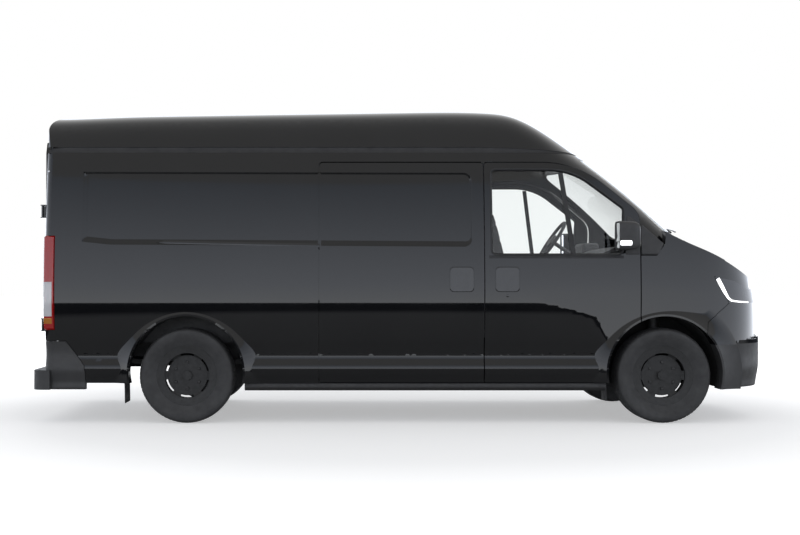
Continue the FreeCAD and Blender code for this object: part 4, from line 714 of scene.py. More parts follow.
def tyre_profile(count=64):
    """Outer profile of a tyre from bead to bead as (radius, y): a sidewall bulged by a sine, then a
    nearly flat tread crowned by a sixth power."""
    s = np.linspace(-1, 1, count)
    a = np.abs(s)
    wall = np.clip((1 - a) / WALL_SHARE, 0, 1)
    y = BEAD_HALF + WALL_BULGE * np.sin(np.pi * (wall * WALL_TURN))
    y = np.where(a > TREAD_SHARE, y, y * (a / TREAD_SHARE) ** 0.96)
    crown = np.where(a > TREAD_SHARE, 0, CROWN_RISE * (1 - (a / TREAD_SHARE) ** 6))
    return BEAD_RADIUS + WALL_RISE * wall ** 0.86 + crown, np.sign(s) * y


def tyre(place, word, side, wheel_x):
    """Tyre: the profile turned about the axle, with four grooves and shoulder blocks cut into
    the tread and thin rings on its sidewalls."""
    r, y = tyre_profile()
    count = 600
    turn = np.linspace(0, 2 * np.pi, count, endpoint=False)[:, None]
    tread = (np.abs(y) < TREAD_HALF) & (r > TREAD_FROM)
    groove = np.zeros_like(y)
    for middle in GROOVES:
        groove = np.maximum(groove, np.clip(1.6 - np.abs(y - middle) / GROOVE_HALF, 0, 1))
    shift = np.where(np.abs(y) > GROOVES[-1], 0.0, 0.5) + 6 * np.abs(y)
    across = np.abs(((turn * BLOCKS_ROUND / (2 * np.pi) + shift) % 1) - 0.5)
    cut = np.clip(2.2 - across / 0.045, 0, 1) * np.where(np.abs(y) > 0.060, 0.75, 0.4)
    deep = np.where(tread, GROOVE_DEPTH * np.maximum(groove, cut), 0)
    ring = sum(high * np.exp(-((r - at) / wide) ** 2) for high, at, wide in WALL_RINGS)
    inner = np.array(INSIDE)
    radius = np.concatenate([r - deep, np.broadcast_to(inner[:, 0], (count, len(inner)))], 1)
    reach = np.broadcast_to(y + np.sign(y) * np.where(tread, 0.0, ring), (count, len(y)))
    reach = np.concatenate([reach, np.broadcast_to(inner[:, 1], (count, len(inner)))], 1)
    grid = spots(wheel_x + radius * np.cos(turn), side * WHEEL_Y + reach,
                 AXLE_Z + radius * np.sin(turn))
    name = place + "_" + word
    piece = shell("tyre_tread_" + name, grid, "wheel_" + name, TYRE, (True, True))
    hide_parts("tyre_" + name)


for word, side in SIDES.items():
    tyre("front", word, side, FRONT_AXLE)
    tyre("rear", word, side, REAR_AXLE)


# Strips and plates on the body's side

def from_axle(points):
    """Outline points given in millimetres from the rear axle and the ground, in metres."""
    return [(along(p[0] / 1000), p[1] / 1000) + tuple(r / 1000 for r in p[2:]) for p in points]


def rounded_path(points, count=9):
    """Closed outline with round corners: an arc tangent to both sides at each corner."""
    rows = []
    for k, point in enumerate(points):
        before, here, after = (np.array(points[(k + s) % len(points)][:2]) for s in (-1, 0, 1))
        radius = point[2] if len(point) > 2 else 0.0
        if radius == 0:
            rows.append(here[None])
            continue
        u, v = unit((before - here)[None])[0], unit((after - here)[None])[0]
        half = np.arccos(np.clip(u @ v, -1, 1)) / 2
        centre = here + unit((u + v)[None])[0] * radius / np.sin(half)
        t = np.linspace(0, 1, count)[:, None]
        start, end = here + u * radius / np.tan(half), here + v * radius / np.tan(half)
        rows.append(centre + unit(start * (1 - t) + end * t - centre) * radius)
    return np.concatenate(rows)


def evenly(outline, step):
    """Closed outline resampled at even steps of arc length."""
    closed = np.vstack([outline, outline[:1]])
    run = np.concatenate([[0], np.cumsum(np.linalg.norm(np.diff(closed, axis=0), axis=1))])
    at = np.linspace(0, run[-1], max(int(run[-1] / step), 8), endpoint=False)
    return np.stack([np.interp(at, run, closed[:, k]) for k in range(2)], -1)


def outward(outline):
    """Unit normals of a closed outline, pointing out of it."""
    way = unit(np.roll(outline, -1, 0) - np.roll(outline, 1, 0))
    after = np.roll(outline, -1, 0)
    area = np.sum(outline[:, 0] * after[:, 1] - after[:, 0] * outline[:, 1])
    return np.stack([way[:, 1], -way[:, 0]], -1) * np.sign(area)


def side_ring(name, outline, side, section, body, material):
    """Strip round a closed outline on the side: section rows are (outwards, off the skin)."""
    off = outward(outline)
    section = np.asarray(section, float)
    x = outline[:, 0, None] + off[:, 0, None] * section[None, :, 0]
    z = outline[:, 1, None] + off[:, 1, None] * section[None, :, 0]
    grid = on_side(x, z, section[None, :, 1], side)
    return shell(name, grid, body, material, (True, True))


def side_plate(name, outline, side, out, dome, body, material, foot=-0.004):
    """Plate on the side: an outline's rings shrunk to its middle, domed by a squared share."""
    middle = outline.mean(0)
    rings = [(1.0, foot), (1.0, out - 0.002), (0.97, out)]
    rings += [(s, out + dome * (1 - s * s)) for s in (0.85, 0.6, 0.3, 0.02)]

    def place(a, b, level):
        return on_side(middle[0] + a, middle[1] + b, level, side)

    return plate(name, outline - middle, place, rings, body, material)


WINDOW = from_axle([(2275, 1258, 38), (2275, 1908, 38), (2885, 1908, 500), (3275, 1612, 38),
                    (3260, 1258, 38)])
RECESS = from_axle([(-776, 1358, 20), (-776, 1885, 30), (2134, 1878, 60), (2134, 1320.7, 60),
                    (-571, 1337, 60)])
BELT_Z = 1.243
SLIDE_GAP = (0.987, 0.995)
ANYWHERE = 9.0


def window_seals(word, side):
    """Rubber round the door's window, and the upright bar that divides its glass."""
    body = "door_" + word
    ring_line = evenly(rounded_path(WINDOW), 0.02)
    section = [(0.004, -0.001), (0.002, 0.0025), (-0.006, 0.001), (-0.012, -0.010),
               (-0.015, -0.019), (-0.012, -0.023), (0.003, -0.020)]
    side_ring("window_seal_" + word, ring_line, side, section, body, RUBBER)
    foot, head = np.array([along(2.8935), 1.250]), np.array([along(2.8050), 1.880])
    t = np.linspace(0, 1, 12)[:, None]
    line = foot * (1 - t) + head * t
    half, low, high = 0.0165, -0.026, -0.006
    across = np.array([[-half, low], [-half, high], [half, high], [half, low]])
    grid = on_side(line[:, 0, None] + across[None, :, 0], line[:, 1, None], across[None, :, 1], side)
    shell("window_bar_" + word, grid, body, RUBBER, (False, True), True)
    belt = np.linspace(along(2.262), along(3.262), 40)[:, None]
    lip = np.array([[-0.006, -0.016], [0.010, -0.016], [0.014, -0.004], [0.010, 0.004],
                    [-0.008, 0.004]])
    grid = on_side(belt, BELT_Z + lip[None, :, 0], lip[None, :, 1], side)
    shell("belt_lip_" + word, grid, body, RUBBER, (False, True), True)


def recess_bevels(word, side):
    """Soft stamped edge round the blind window's recess, split where the sliding door begins.
    That door has no joint, so both stretches ride on the body."""
    line = evenly(rounded_path(RECESS), 0.012)
    spans = {"body": (-ANYWHERE, ANYWHERE)}
    if word == "right":
        spans = {"body": (-ANYWHERE, along(SLIDE_GAP[0])), "door": (along(SLIDE_GAP[1]), ANYWHERE)}
    off = outward(line)
    share = np.linspace(0, 1, 7)
    depth = -0.0006 - 0.0128 * ease(share)
    low = np.clip(-off[:, 1], 0, 1)[:, None]
    rear = np.clip(-off[:, 0], 0, 1)[:, None]
    wide = 0.012 + 0.030 * low + 0.022 * rear
    x = line[:, 0, None] - off[:, 0, None] * share * wide
    z = line[:, 1, None] - off[:, 1, None] * share * wide
    grid = on_side(x, z, depth, side)
    for part, (start, end) in spans.items():
        keep = (line[:, 0] > start) & (line[:, 0] < end)
        first = np.flatnonzero(keep & ~np.roll(keep, 1))
        if len(first) == 0:
            rows, closed = grid, True
        else:
            order = (np.arange(len(line)) + first[0]) % len(line)
            rows, closed = grid[order][: keep.sum()], False
        shell("recess_edge_{}_{}".format(part, word), rows, "body", PAINT,
              (closed, False))


def canopy_side(x, z, out, side):
    """Points on the canopy's side by height: the superellipse solved for its width, at the
    parameter whose bow brings it back to x."""
    x, z, out = np.broadcast_arrays(x, z, out)
    u = np.array(x, float)
    for _ in range(8):
        rise = np.clip(1 - (canopy_line(u) - z) / CANOPY_DEPTH, 0, 1)
        share = np.maximum(1 - rise ** CANOPY_UP_POWER, 0) ** (1 / CANOPY_ACROSS_POWER)
        u = x + canopy_bow(u) * share ** 2
    return np.stack([x, side * (half_width(u, z) * share + out), z], -1)


# Share of the strip's height and distance off the canopy
GUTTER_SECTION = np.array([(0.0, -0.0010), (0.06, 0.0006), (0.14, -0.0045), (0.5, -0.0075),
                           (0.86, -0.0045), (0.94, 0.0006), (1.0, -0.0010)])
GUTTER_REAR, GUTTER_FADE, GUTTER_END = -1.045, 2.2, 2.98


def gutter_strip(word, side):
    """Dark channel between the body side and the high roof, running out over the front door."""
    x = np.concatenate([np.linspace(along(GUTTER_REAR), along(GUTTER_FADE), 60),
                        np.linspace(along(GUTTER_FADE + 0.04), along(GUTTER_END), 24)])
    fade = ease((x - along(GUTTER_FADE)) / 0.80)
    start = ease((x - along(GUTTER_REAR)) / 0.10)
    high = 2.079 - 0.034 * fade - 0.02 * (1 - start)
    low = 2.025 + 0.008 * fade
    z = low[:, None] + (high - low)[:, None] * GUTTER_SECTION[:, 0]
    skin = canopy_side(x[:, None], z, GUTTER_SECTION[:, 1], side)
    back = canopy_side(x[:, None], z[:, ::-1], -0.0125, side)
    grid = np.concatenate([skin, back], 1)
    shell("gutter_strip_" + word, grid, "body", RUBBER, (False, True), True)


HANDLE_Z = 1.077


def door_handle(name, middle, side, body):
    """Handle in its pocket: a dark liner and an eight-sided grip across it, which is the least of
    a square's and a turned square's reach."""
    def place(a, b, out):
        return on_side(along(middle) + a, HANDLE_Z + b, out, side)

    rings = [(1.0, 0.0012), (0.965, 0.0022), (0.93, -0.003), (0.90, -0.0265), (0.5, -0.0285),
             (0.02, -0.0288)]
    plate("handle_pocket_" + name, rounded_outline(0.180, 0.185, 0.029), place, rings, body,
          GLOSS_TRIM)
    way = circle(48)
    high, wide = np.abs(way[:, 1]), np.abs(way[:, 0])
    square = 0.5 / np.maximum(np.maximum(wide, high), 0.001)
    eight = np.minimum(square, 0.66 / np.maximum(wide + high, 0.001))
    rings = [(0.90, -0.0270), (1.0, -0.010), (1.0, -0.004), (0.95, -0.0008), (0.80, 0.0006),
             (0.45, -0.0015), (0.02, -0.0022)]
    plate("handle_grip_" + name, way * eight[:, None] * (0.100, 0.148), place, rings, body, GRIP)


def side_lock(name, d, z, side, body):
    """Round key cover beside a handle."""
    line = np.array([along(d), z]) + 0.011 * circle(32)
    side_plate("lock_" + name, line, side, 0.0015, 0.001, body, GLOSS_TRIM, -0.002)


for word, side in SIDES.items():
    window_seals(word, side)
    recess_bevels(word, side)
    gutter_strip(word, side)
    door_handle("front_" + word, 2.396, side, "door_" + word)
    side_lock("front_" + word, 2.396, 0.955, side, "door_" + word)
door_handle("slide_right", 2.056, SIDES["right"], "body")


def rail_cover():
    """Cover of the sliding door's rail along the foot of the recess."""
    x = np.linspace(-1.885, -0.668, 60)
    t = (x - x[0]) / (x[-1] - x[0])
    middle = 1.352 - 0.026 * t
    half = 0.019 * ease(t / 0.05)
    angle = np.linspace(0, np.pi, 9)
    z = middle[:, None] + half[:, None] * np.cos(angle)
    grid = on_side(x[:, None], z, -0.0136 + 0.0135 * np.sin(angle) ** 0.5, SIDES["right"])
    shell("rail_cover", grid, "body", GLOSS_TRIM)


rail_cover()


def corner_screw(word, side):
    """Small bright screw high on the rear corner."""
    line = np.array([-2.700, 1.890]) + 0.007 * circle(20)
    side_plate("screw_0_" + word, line, side, 0.0015, 0.001, "body", BRIGHT, -0.002)


for word, side in SIDES.items():
    corner_screw(word, side)


# Mirrors

MIRROR_X, MIRROR_Y, MIRROR_Z = 1.520, 1.140, 1.3975
MIRROR_HALF_WIDTH, MIRROR_HALF_HEIGHT = 0.084, 0.106
MIRROR_SPLIT_Z = MIRROR_Z - 0.045


def mirror(word, side):
    """Mirror head with a domed back, its silvered faces and lamp, and the arm that carries it. The
    outline is a superellipse."""
    body = "door_" + word
    way = circle(40)
    outline = np.sign(way) * np.abs(way) ** 0.36 * (MIRROR_HALF_WIDTH, MIRROR_HALF_HEIGHT)

    def place(a, b, back):
        return spots(MIRROR_X + back, side * MIRROR_Y + a, MIRROR_Z + b)

    rings = [(0.90, 0.010), (0.985, 0.0), (1.0, 0.008), (1.0, 0.050), (0.985, 0.090), (0.94, 0.125),
             (0.82, 0.150), (0.55, 0.163), (0.02, 0.1665)]
    head = plate("mirror_head_" + word, outline, place, rings, body, PLASTIC)
    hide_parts("mirror_" + word)
    rings = [(0.885, 0.012), (0.885, 0.0065), (0.86, 0.006), (0.02, 0.006)]
    for part, low, high in (("main", MIRROR_SPLIT_Z + 0.003, MIRROR_Z + MIRROR_HALF_HEIGHT),
                            ("wide", MIRROR_Z - MIRROR_HALF_HEIGHT, MIRROR_SPLIT_Z - 0.003)):
        def face(a, b, back):
            return spots(MIRROR_X + back, side * MIRROR_Y + a, np.clip(MIRROR_Z + b, low, high))

        plate("mirror_glass_{}_{}".format(part, word), outline, face, rings, body, SILVER)

    def flank(a, b, out):
        return spots(MIRROR_X + 0.048 + a, side * (MIRROR_Y + MIRROR_HALF_WIDTH) + side * out,
                     1.342 + b)

    rings = [(1.0, -0.004), (1.0, 0.0010), (0.94, 0.0022), (0.02, 0.0024)]
    plate("mirror_lamp_" + word, rounded_outline(0.086, 0.036, 0.010), flank, rings, body, LIT_WHITE)
    t = np.linspace(0, 1, 16)[:, None]
    root = np.array([along(3.318), side * 0.985, 1.352])
    tip = np.array([MIRROR_X + 0.110, side * 1.085, 1.362])
    path = root * (1 - t) + tip * t + np.array([0, 0, -0.012]) * np.sin(np.pi * t)
    bar("mirror_arm_" + word, path, 0.052, 0.058, body, PLASTIC, (0, 0, 1), 3.0)


def mirror_foot(word, side):
    """Black triangle behind the mirror: the door's half and the fixed half on the fender."""
    fixed = rounded_path([(along(3.3955), 1.492, 0.006), (along(3.3955), 1.262, 0.006),
                          (along(3.520), 1.262, 0.030), (along(3.566), 1.342, 0.014)])
    moving = rounded_path([(along(3.384), 1.494, 0.006), (along(3.292), 1.560, 0.010),
                           (along(3.277), 1.262, 0.006), (along(3.384), 1.262, 0.006)])
    for name, line, body in (("fixed", fixed, "body"), ("moving", moving, "door_" + word)):
        line = evenly(line, 0.008)
        side_plate("mirror_plate_{}_{}".format(name, word), line, side, 0.0045, 0.0008, body, PLASTIC)


for word, side in SIDES.items():
    mirror(word, side)
    mirror_foot(word, side)


# Lamps at the rear corners

TAIL_LOW, TAIL_HIGH = 0.700, 1.404
TAIL_FACE, TAIL_BEND, TAIL_SIDE = 0.044, 0.018, 0.063
TAIL_RUN = TAIL_FACE + TAIL_BEND * np.pi / 2 + TAIL_SIDE


def tail_point(side, run, z, out):
    """Point on the lamp by its run from the inner edge of the rear face round the corner:
    a flat face, a quarter circle, then the skin of the side."""
    run, z, out = np.broadcast_arrays(run, z, out)
    wide = TAIL_FACE + TAIL_BEND
    skin = half_width(np.full_like(z, -2.70), z)
    turn = np.clip((run - TAIL_FACE) / TAIL_BEND, 0, np.pi / 2)
    reach = TAIL_BEND + out
    after = np.clip(run - TAIL_FACE - TAIL_BEND * np.pi / 2, 0, 1)
    x = REAR_FACE + TAIL_BEND - reach * np.cos(turn) + after
    y = skin - wide + np.clip(run, 0, TAIL_FACE) + reach * np.sin(turn)
    return np.stack([x, side * y, z], -1)


def edged(low, high, edge, gap, count):
    """Places from low to high: evenly spread, with one close to each edge."""
    return np.concatenate([[low, low + edge], np.linspace(low + gap, high - gap, count),
                           [high - edge, high]])


def edge_rise(z, run, z_soft, run_soft):
    """0 at the four edges of a field and 1 inside it, by each row's and column's distance."""
    rows = ease(np.minimum(z - z[0], z[-1] - z)[:, None] / z_soft)
    return np.minimum(rows, ease(np.minimum(run - run[0], run[-1] - run)[None, :] / run_soft))


def tail_lamp(word, side):
    """Rear corner lamp: red domed cover, with a clear field and an amber field standing off it."""
    z = edged(TAIL_LOW, TAIL_HIGH, 0.003, 0.012, 40)
    run = edged(0, TAIL_RUN, 0.002, 0.008, 30)
    grid = tail_point(side, run[None, :], z[:, None], -0.010 + 0.0125 * edge_rise(z, run, 0.010, 0.008))
    cover = shell("tail_lamp_body_" + word, grid, "body", RED_LENS)
    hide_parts("tail_lamp_" + word)
    near, far = 0.030, TAIL_RUN - 0.018
    for name, low, high, material in (("clear", 0.800, 1.060, WHITE_LENS),
                                      ("amber", 0.745, 0.790, AMBER)):
        row = np.concatenate([[low], np.linspace(low + 0.003, high - 0.003, 14), [high]])
        col = np.concatenate([[near], np.linspace(near + 0.003, far - 0.003, 16), [far]])
        out = 0.0015 + 0.0024 * edge_rise(row, col, 0.004, 0.004)
        grid = tail_point(side, col[None, :], row[:, None], out)
        shell("tail_lamp_{}_{}".format(name, word), grid, "body", material)


for word, side in SIDES.items():
    tail_lamp(word, side)


# Headlamps

def lamp_edge(line, x):
    """Height of a lamp's edge at x, through points given from the rear axle."""
    return np.interp(x, [along(p[0] / 1000) for p in line], [p[1] / 1000 for p in line])


LAMP_TOP = [(3964, 1096), (4137, 1066), (4266, 1008)]
RUNNING_LAMP = [(3.975, 1.080, 0.015), (4.000, 1.036, 0.016), (4.032, 0.980, 0.014),
                (4.062, 0.934, 0.009), (4.090, 0.914, 0.007), (4.130, 0.908, 0.006),
                (4.180, 0.903, 0.006), (4.258, 0.900, 0.005)]


def lamp_bar(word, side):
    """Daytime running lamp: a white band down the headlamp's rear edge and along its foot, through
    rows of (distance, height, half breadth)."""
    rows = np.array(RUNNING_LAMP)
    fine = np.linspace(0, len(rows) - 1, 60)
    d, z, half = (np.interp(fine, np.arange(len(rows)), rows[:, k]) for k in range(3))
    line = np.stack([along(d), z], -1)
    way = unit(np.gradient(line, axis=0))
    off = np.stack([way[:, 1], -way[:, 0]], -1) * half[:, None]
    share = np.linspace(-1, 1, 7)
    x = line[:, 0, None] - off[:, 0, None] * share + 0.012
    z = line[:, 1, None] - off[:, 1, None] * share + 0.004
    out = 0.0014 + 0.0022 * (1 - share[None, :] ** 2)
    shell("running_lamp_" + word, on_side(x, z, out, side), "body", LIT_WHITE)


LAMP_CUPS = ((4.150, 0.800, 0.978), (4.190, 0.690, 0.962))
CUP_RADIUS = 0.034


def lamp_cups(word, side):
    """Two round projector cups behind the lamp's cover."""
    rings = [(CUP_RADIUS, -0.004), (CUP_RADIUS, 0.006), (CUP_RADIUS - 0.003, 0.008),
             (CUP_RADIUS - 0.006, 0.004), (CUP_RADIUS * 0.55, -0.010), (0.001, -0.014)]
    for k, (d, y, z) in enumerate(LAMP_CUPS):
        def place(a, b, ahead):
            return spots(along(d) + ahead, side * y + a, z + b)

        plate("lamp_cup_{}_{}".format(k, word), circle(48), place, rings, "body", CHROME)


for word, side in SIDES.items():
    lamp_bar(word, side)
    lamp_cups(word, side)


# Seats

SEAT_LEAN = np.radians(14.0)
SEAT_UP = np.array([-np.sin(SEAT_LEAN), 0, np.cos(SEAT_LEAN)])
SEAT_AHEAD = np.array([np.cos(SEAT_LEAN), 0, np.sin(SEAT_LEAN)])
ACROSS = np.array([0, 1, 0])
PAD_PULL = 0.012
CHANNEL_HALF = 0.009


def pad(name, half, radius, place, crown, channels):
    """Cushion: a rounded box whose top crowns by (1 - a^2)(1 - b^2), whose sides pull in
    between the corners, and whose sewn channels are grooves across it."""
    count = 40
    half = np.asarray(half, float)
    t = np.linspace(-1, 1, count)
    a, b = np.meshgrid(t, t, indexing="ij")
    cubes, quads = [], []
    for axis in range(3):
        for sign in (-1.0, 1.0):
            index = count * count * len(cubes) + np.arange(count * count).reshape(count, count)
            cube = np.zeros((count, count, 3))
            cube[..., axis] = sign
            cube[..., (axis + 1) % 3] = a * sign
            cube[..., (axis + 2) % 3] = b
            cubes.append(cube.reshape(-1, 3))
            quad = np.stack([index[:-1, :-1], index[1:, :-1], index[1:, 1:], index[:-1, 1:]], -1)
            quads.append(quad.reshape(-1, 4))
    cube = np.concatenate(cubes)
    p = cube * (half - radius) + unit(cube ** 3 + 1e-9) * radius
    share = p / half
    bowed = (1 - share ** 2).clip(0)
    p[:, 2] += crown * np.clip(share[:, 2], 0, 1) ** 2 * bowed[:, 0] * bowed[:, 1]
    p[:, 0] *= 1 - PAD_PULL * bowed[:, 2] * bowed[:, 1] * 1.2
    p[:, 1] *= 1 - PAD_PULL * bowed[:, 2] * bowed[:, 0] * 1.2
    for axis, where, depth in channels:
        gap = (p[:, axis] - where) / CHANNEL_HALF
        p[:, 2] -= depth * np.exp(-gap * gap) * np.clip(share[:, 2] * 2 - 0.6, 0, 1)
    mesh = bpy.data.meshes.new(name)
    mesh.from_pydata(place(p).tolist(), [], np.concatenate(quads).tolist())
    cleaned(mesh, 1e-5)
    all_smooth(mesh)
    made = new_piece(name, mesh, CLOTH)
    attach(made, "body")
    return made


def seat(word, middle, width, node):
    """Seat of a cushion, a leaning back and head pads on posts, with a plinth below."""
    root = np.array([along(2.430), middle, 1.000])
    reach = width - 0.020
    double = width > 0.6
    sides = [-reach / 2 + 0.075, reach / 2 - 0.075]
    if double:
        sides = [-0.012, 0.012] + sides

    def sewn(places):
        return [(1, s, 0.010) for s in sides] + [(0, s, 0.005) for s in places]

    def level(p):
        return p + np.array([along(2.585) + 0.010, middle, 0.9715])

    def leaning(up, shift=0.0):
        def place(p):
            return root + (p[:, :1] + up) * SEAT_UP + (p[:, 1:2] + shift) * ACROSS + p[:, 2:] * SEAT_AHEAD
        return place

    made = pad("seat_cushion_" + word, (0.240, reach / 2, 0.060), 0.040, level, 0.010,
               sewn((-0.10, 0.0, 0.10)))
    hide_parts(node)
    pad("seat_back_" + word, (0.300, reach / 2, 0.058), 0.040, leaning(0.300), 0.008,
        sewn((-0.16, -0.04, 0.08, 0.20)))
    for k, shift in enumerate([-0.205, 0.205] if double else [0.0]):
        pad("seat_head_{}_{}".format(word, k), (0.085, 0.125, 0.042), 0.032, leaning(0.712, shift),
            0.004, [])
        for n, y in enumerate((-0.045, 0.045)):
            path = root + np.linspace(0.595, 0.640, 4)[:, None] * SEAT_UP + (shift + y) * ACROSS
            bar("seat_post_{}_{}_{}".format(word, k, n), path, 0.012, 0.012, "body", BRIGHT,
                ACROSS, 2.0, 12)

    def foot(a, b, z):
        return spots(along(2.560) + a, middle + b, z)

    rings = [(0.02, 0.600), (1.0, 0.600), (1.0, 0.900), (0.98, 0.905), (0.02, 0.905)]
    plate("seat_plinth_" + word, rounded_outline(0.420, width - 0.080, 0.030), foot, rings, "body",
          DASH)


seat("driver", 0.430, 0.480, "seat_driver")
seat("bench", -0.300, 0.820, "seat_passenger")


# Rear doors' plate space, handle and reflectors

def rear_block(name, y, z, wide, tall, rear, deep, body, material, radius):
    """Domed block on a rear face, wide by tall about (y, z)."""
    def place(a, b, out):
        return spots(rear + out, y + a, z + b)

    rings = [(1.0, 0.006), (1.0, -deep * 0.6), (0.97, -deep), (0.5, -deep * 1.04), (0.02, -deep * 1.05)]
    plate(name, rounded_outline(wide, tall, radius), place, rings, body, material)


BUMPER_REAR = -2.8065
rear_block("rear_handle", -0.115, 1.060, 0.150, 0.130, REAR_FACE, 0.008, "tail_door_right", GLOSS_TRIM,
           0.025)
rear_block("rear_handle_grip", -0.115, 1.060, 0.120, 0.040, REAR_FACE - 0.008, 0.016, "tail_door_right",
           GRIP, 0.015)
rear_block("plate_space", 0.330, 0.860, 0.560, 0.150, REAR_FACE, 0.004, "tail_door_left", PLASTIC,
           0.020)
rear_block("blank_plate_rear", 0.330, 0.860, 0.520, 0.112, REAR_FACE - 0.004, 0.003, "tail_door_left",
           WHITE_LENS, 0.010)
rear_block("plate_lamp", 0.330, 0.948, 0.300, 0.022, REAR_FACE, 0.016, "tail_door_left", GLOSS_TRIM,
           0.008)
for word, side in SIDES.items():
    rear_block("reflector_" + word, side * 0.800, 0.335, 0.120, 0.034, BUMPER_REAR, 0.005, "body",
               RED_LENS, 0.010)


# Wheel nuts

NUT_COUNT, NUT_CIRCLE = 6, 0.100


def wheel_nuts(name, x, side):
    """Six-sided nuts in a circle on the wheel's flat disc."""
    rings = [(0.0125, -0.064), (0.0125, -0.040), (0.0100, -0.036), (0.001, -0.035)]
    for k in range(NUT_COUNT):
        turn = (k + 0.5) * 2 * np.pi / NUT_COUNT

        def place(a, b, out):
            return spots(x + NUT_CIRCLE * np.cos(turn) + a, side * (WHEEL_Y + BEAD_HALF + out),
                         AXLE_Z + NUT_CIRCLE * np.sin(turn) + b)

        plate("nut_{}_{}".format(name, k), circle(6), place, rings, "wheel_" + name, CHASSIS)


for place, wheel_x in (("front", FRONT_AXLE), ("rear", REAR_AXLE)):
    for word, side in SIDES.items():
        wheel_nuts(place + "_" + word, wheel_x, side)


# Seals behind the front doors' shut lines

def door_seal(word, side):
    """Rubber strip on the body behind the front edge of the door, which closes the shut gap."""
    points = from_axle([(3390, 795), (3390, 1577, 150), (2924, 1958, 700), (2300, 1958)])
    line = rounded_path(points, 24)[1:-1]
    line = np.vstack([[points[0][:2]], line, [points[-1][:2]]])
    way = unit(np.gradient(line, axis=0))
    off = np.stack([way[:, 1], -way[:, 0]], -1)
    near, far, low, high = -0.0034, 0.012, -0.0470, -0.0400
    across = np.array([[near, low], [near, high], [far, high], [far, low]])
    x = line[:, 0, None] + off[:, 0, None] * across[None, :, 0]
    z = line[:, 1, None] + off[:, 1, None] * across[None, :, 0]
    grid = on_side(x, z, across[None, :, 1], side)
    shell("door_seal_" + word, grid, "body", RUBBER, (False, True), True)


# Mud flaps

def mud_flap(name, x, wide, low, high):
    """Rubber sheet behind a wheel, bowed by a square of its height."""
    z = np.linspace(low, high, 14)[:, None]
    y = np.linspace(wide[0], wide[1], 14)[None, :]
    bow = 0.010 * (1 - ((z - low) / (high - low)) ** 2)
    grid = np.concatenate([spots(x + bow, y, z), spots(x + bow - 0.006, y, z)[:, ::-1]], 1)
    shell("mud_flap_" + name, grid, "body", RUBBER, (False, True), True)


for word, side in SIDES.items():
    door_seal(word, side)
    mud_flap("rear_" + word, -2.130, (side * 0.740, side * 0.955), 0.150, 0.420)
    mud_flap("front_" + word, 1.476, (side * 0.780, side * 0.940), 0.165, 0.330)


# Nose: radiator, bars of the intake and the panels above the headlamps

def nose_spot(y, z, inset=0.0):
    """Point on the nose by its breadth and height: the plan's superellipse solved for x."""
    start = along(DOOR_FRONT)
    share = np.clip(np.abs(y) / section_half_width(z), 0, 1)
    reach = np.maximum(1 - share ** PLAN_WIDTH_POWER, 0) ** (1 / PLAN_LENGTH_POWER)
    return np.stack([start + reach * (nose_at(z) - start) - inset, y, z], -1)


def radiator():
    """Dark finned block behind the grille and the intake."""
    z = np.linspace(0.385, 0.985, 240)[:, None]
    y = np.linspace(-0.470, 0.470, 24)[None, :]
    fins = 2.600 + 0.004 * np.abs(np.sin(np.pi * z / 0.012))
    grid = np.concatenate([spots(fins, y, z), spots(2.560, y, z)[:, ::-1]], 1)
    shell("radiator", grid, "body", CHASSIS, (False, True), True)


def intake_bars():
    """Level slats across the intake, set back from the bumper's skin."""
    y = np.linspace(-0.405, 0.405, 60)
    for k in range(4):
        z = np.full_like(y, 0.396 + 0.033 * k)
        bar("intake_bar_{}".format(k), nose_spot(y, z, 0.022), 0.014, 0.010, "body", GLOSS_TRIM,
            (0, 0, 1), 4.0, 12)


def lamp_brow(word, side):
    """Painted panel between the headlamp's top and the hood's edge."""
    x = np.linspace(along(3.972), along(4.300), 60)
    low = lamp_edge(LAMP_TOP, x) - 0.010
    high = np.full_like(x, 1.1)
    for _ in range(12):
        high = 0.5 * high + 0.5 * hood_height(spots(x, half_width(x, high), high))
    share = np.linspace(0, 1, 9)[None, :]
    z = low[:, None] + np.maximum(high - 0.004 - low, 0.001)[:, None] * share
    front = on_side(x[:, None], z, -0.0045, side)
    back = on_side(x[:, None], z[:, ::-1], -0.0085, side)
    shell("lamp_brow_" + word, np.concatenate([front, back], 1), "body", PAINT,
          (False, True), True)


radiator()
intake_bars()
for word, side in SIDES.items():
    lamp_brow(word, side)


# Wipers

def wiper(name, start, end):
    """Wiper: a flat arm from its pivot and a blade lying along the foot of the windscreen."""
    count, held = 40, 24
    y = np.linspace(start, end, count)
    t = np.linspace(0, 1, count)
    u = 2.098 - 0.020 * np.sin(np.pi * 0.5 * t)
    turn = np.sign(y) * canopy_turn(y, half_width(u, 1.5))[1]
    bar("wiper_blade_" + name, canopy_spot(u, turn, -0.006), 0.010, 0.012, "body", RUBBER,
        (0, 0, 1), 4.0, 12)
    lift = (1 - t[:held] / t[held - 1])[:, None] * (0.030, 0.0, -0.006)
    bar("wiper_arm_" + name, canopy_spot(u[:held], turn[:held], -0.016) + lift, 0.014, 0.008, "body",
        GLOSS_TRIM, (0, 0, 1), 4.0, 12)


wiper("right", -0.660, -0.060)
wiper("left", 0.120, 0.700)


# Stage, light and camera

WALL_HEIGHT, WALL_RADIUS = 9.0, 20.0
WALL_LIGHT, WALL_MIRRORED = 2.0, 3.4
WORLD_LIGHT = 0.55
FLOOR_HALF = 90
FLOOR_LIFT, LIFTED_FLOOR = 0.40, (3.0, 7.0)
DARK_FLOOR = (5.6, 6.8)
CAMERA_PLACE = (-0.5295, -10.340, 1.043)
CAMERA_LENS, CAMERA_SENSOR = 56.4, 36.0
CAMERA_SHIFT = (0.0775, 0.0206)


def stage_sheet(name, points, faces, material):
    """Sheet of the studio."""
    mesh = bpy.data.meshes.new(name)
    mesh.from_pydata(points, [], faces)
    new_piece(name, mesh, material)


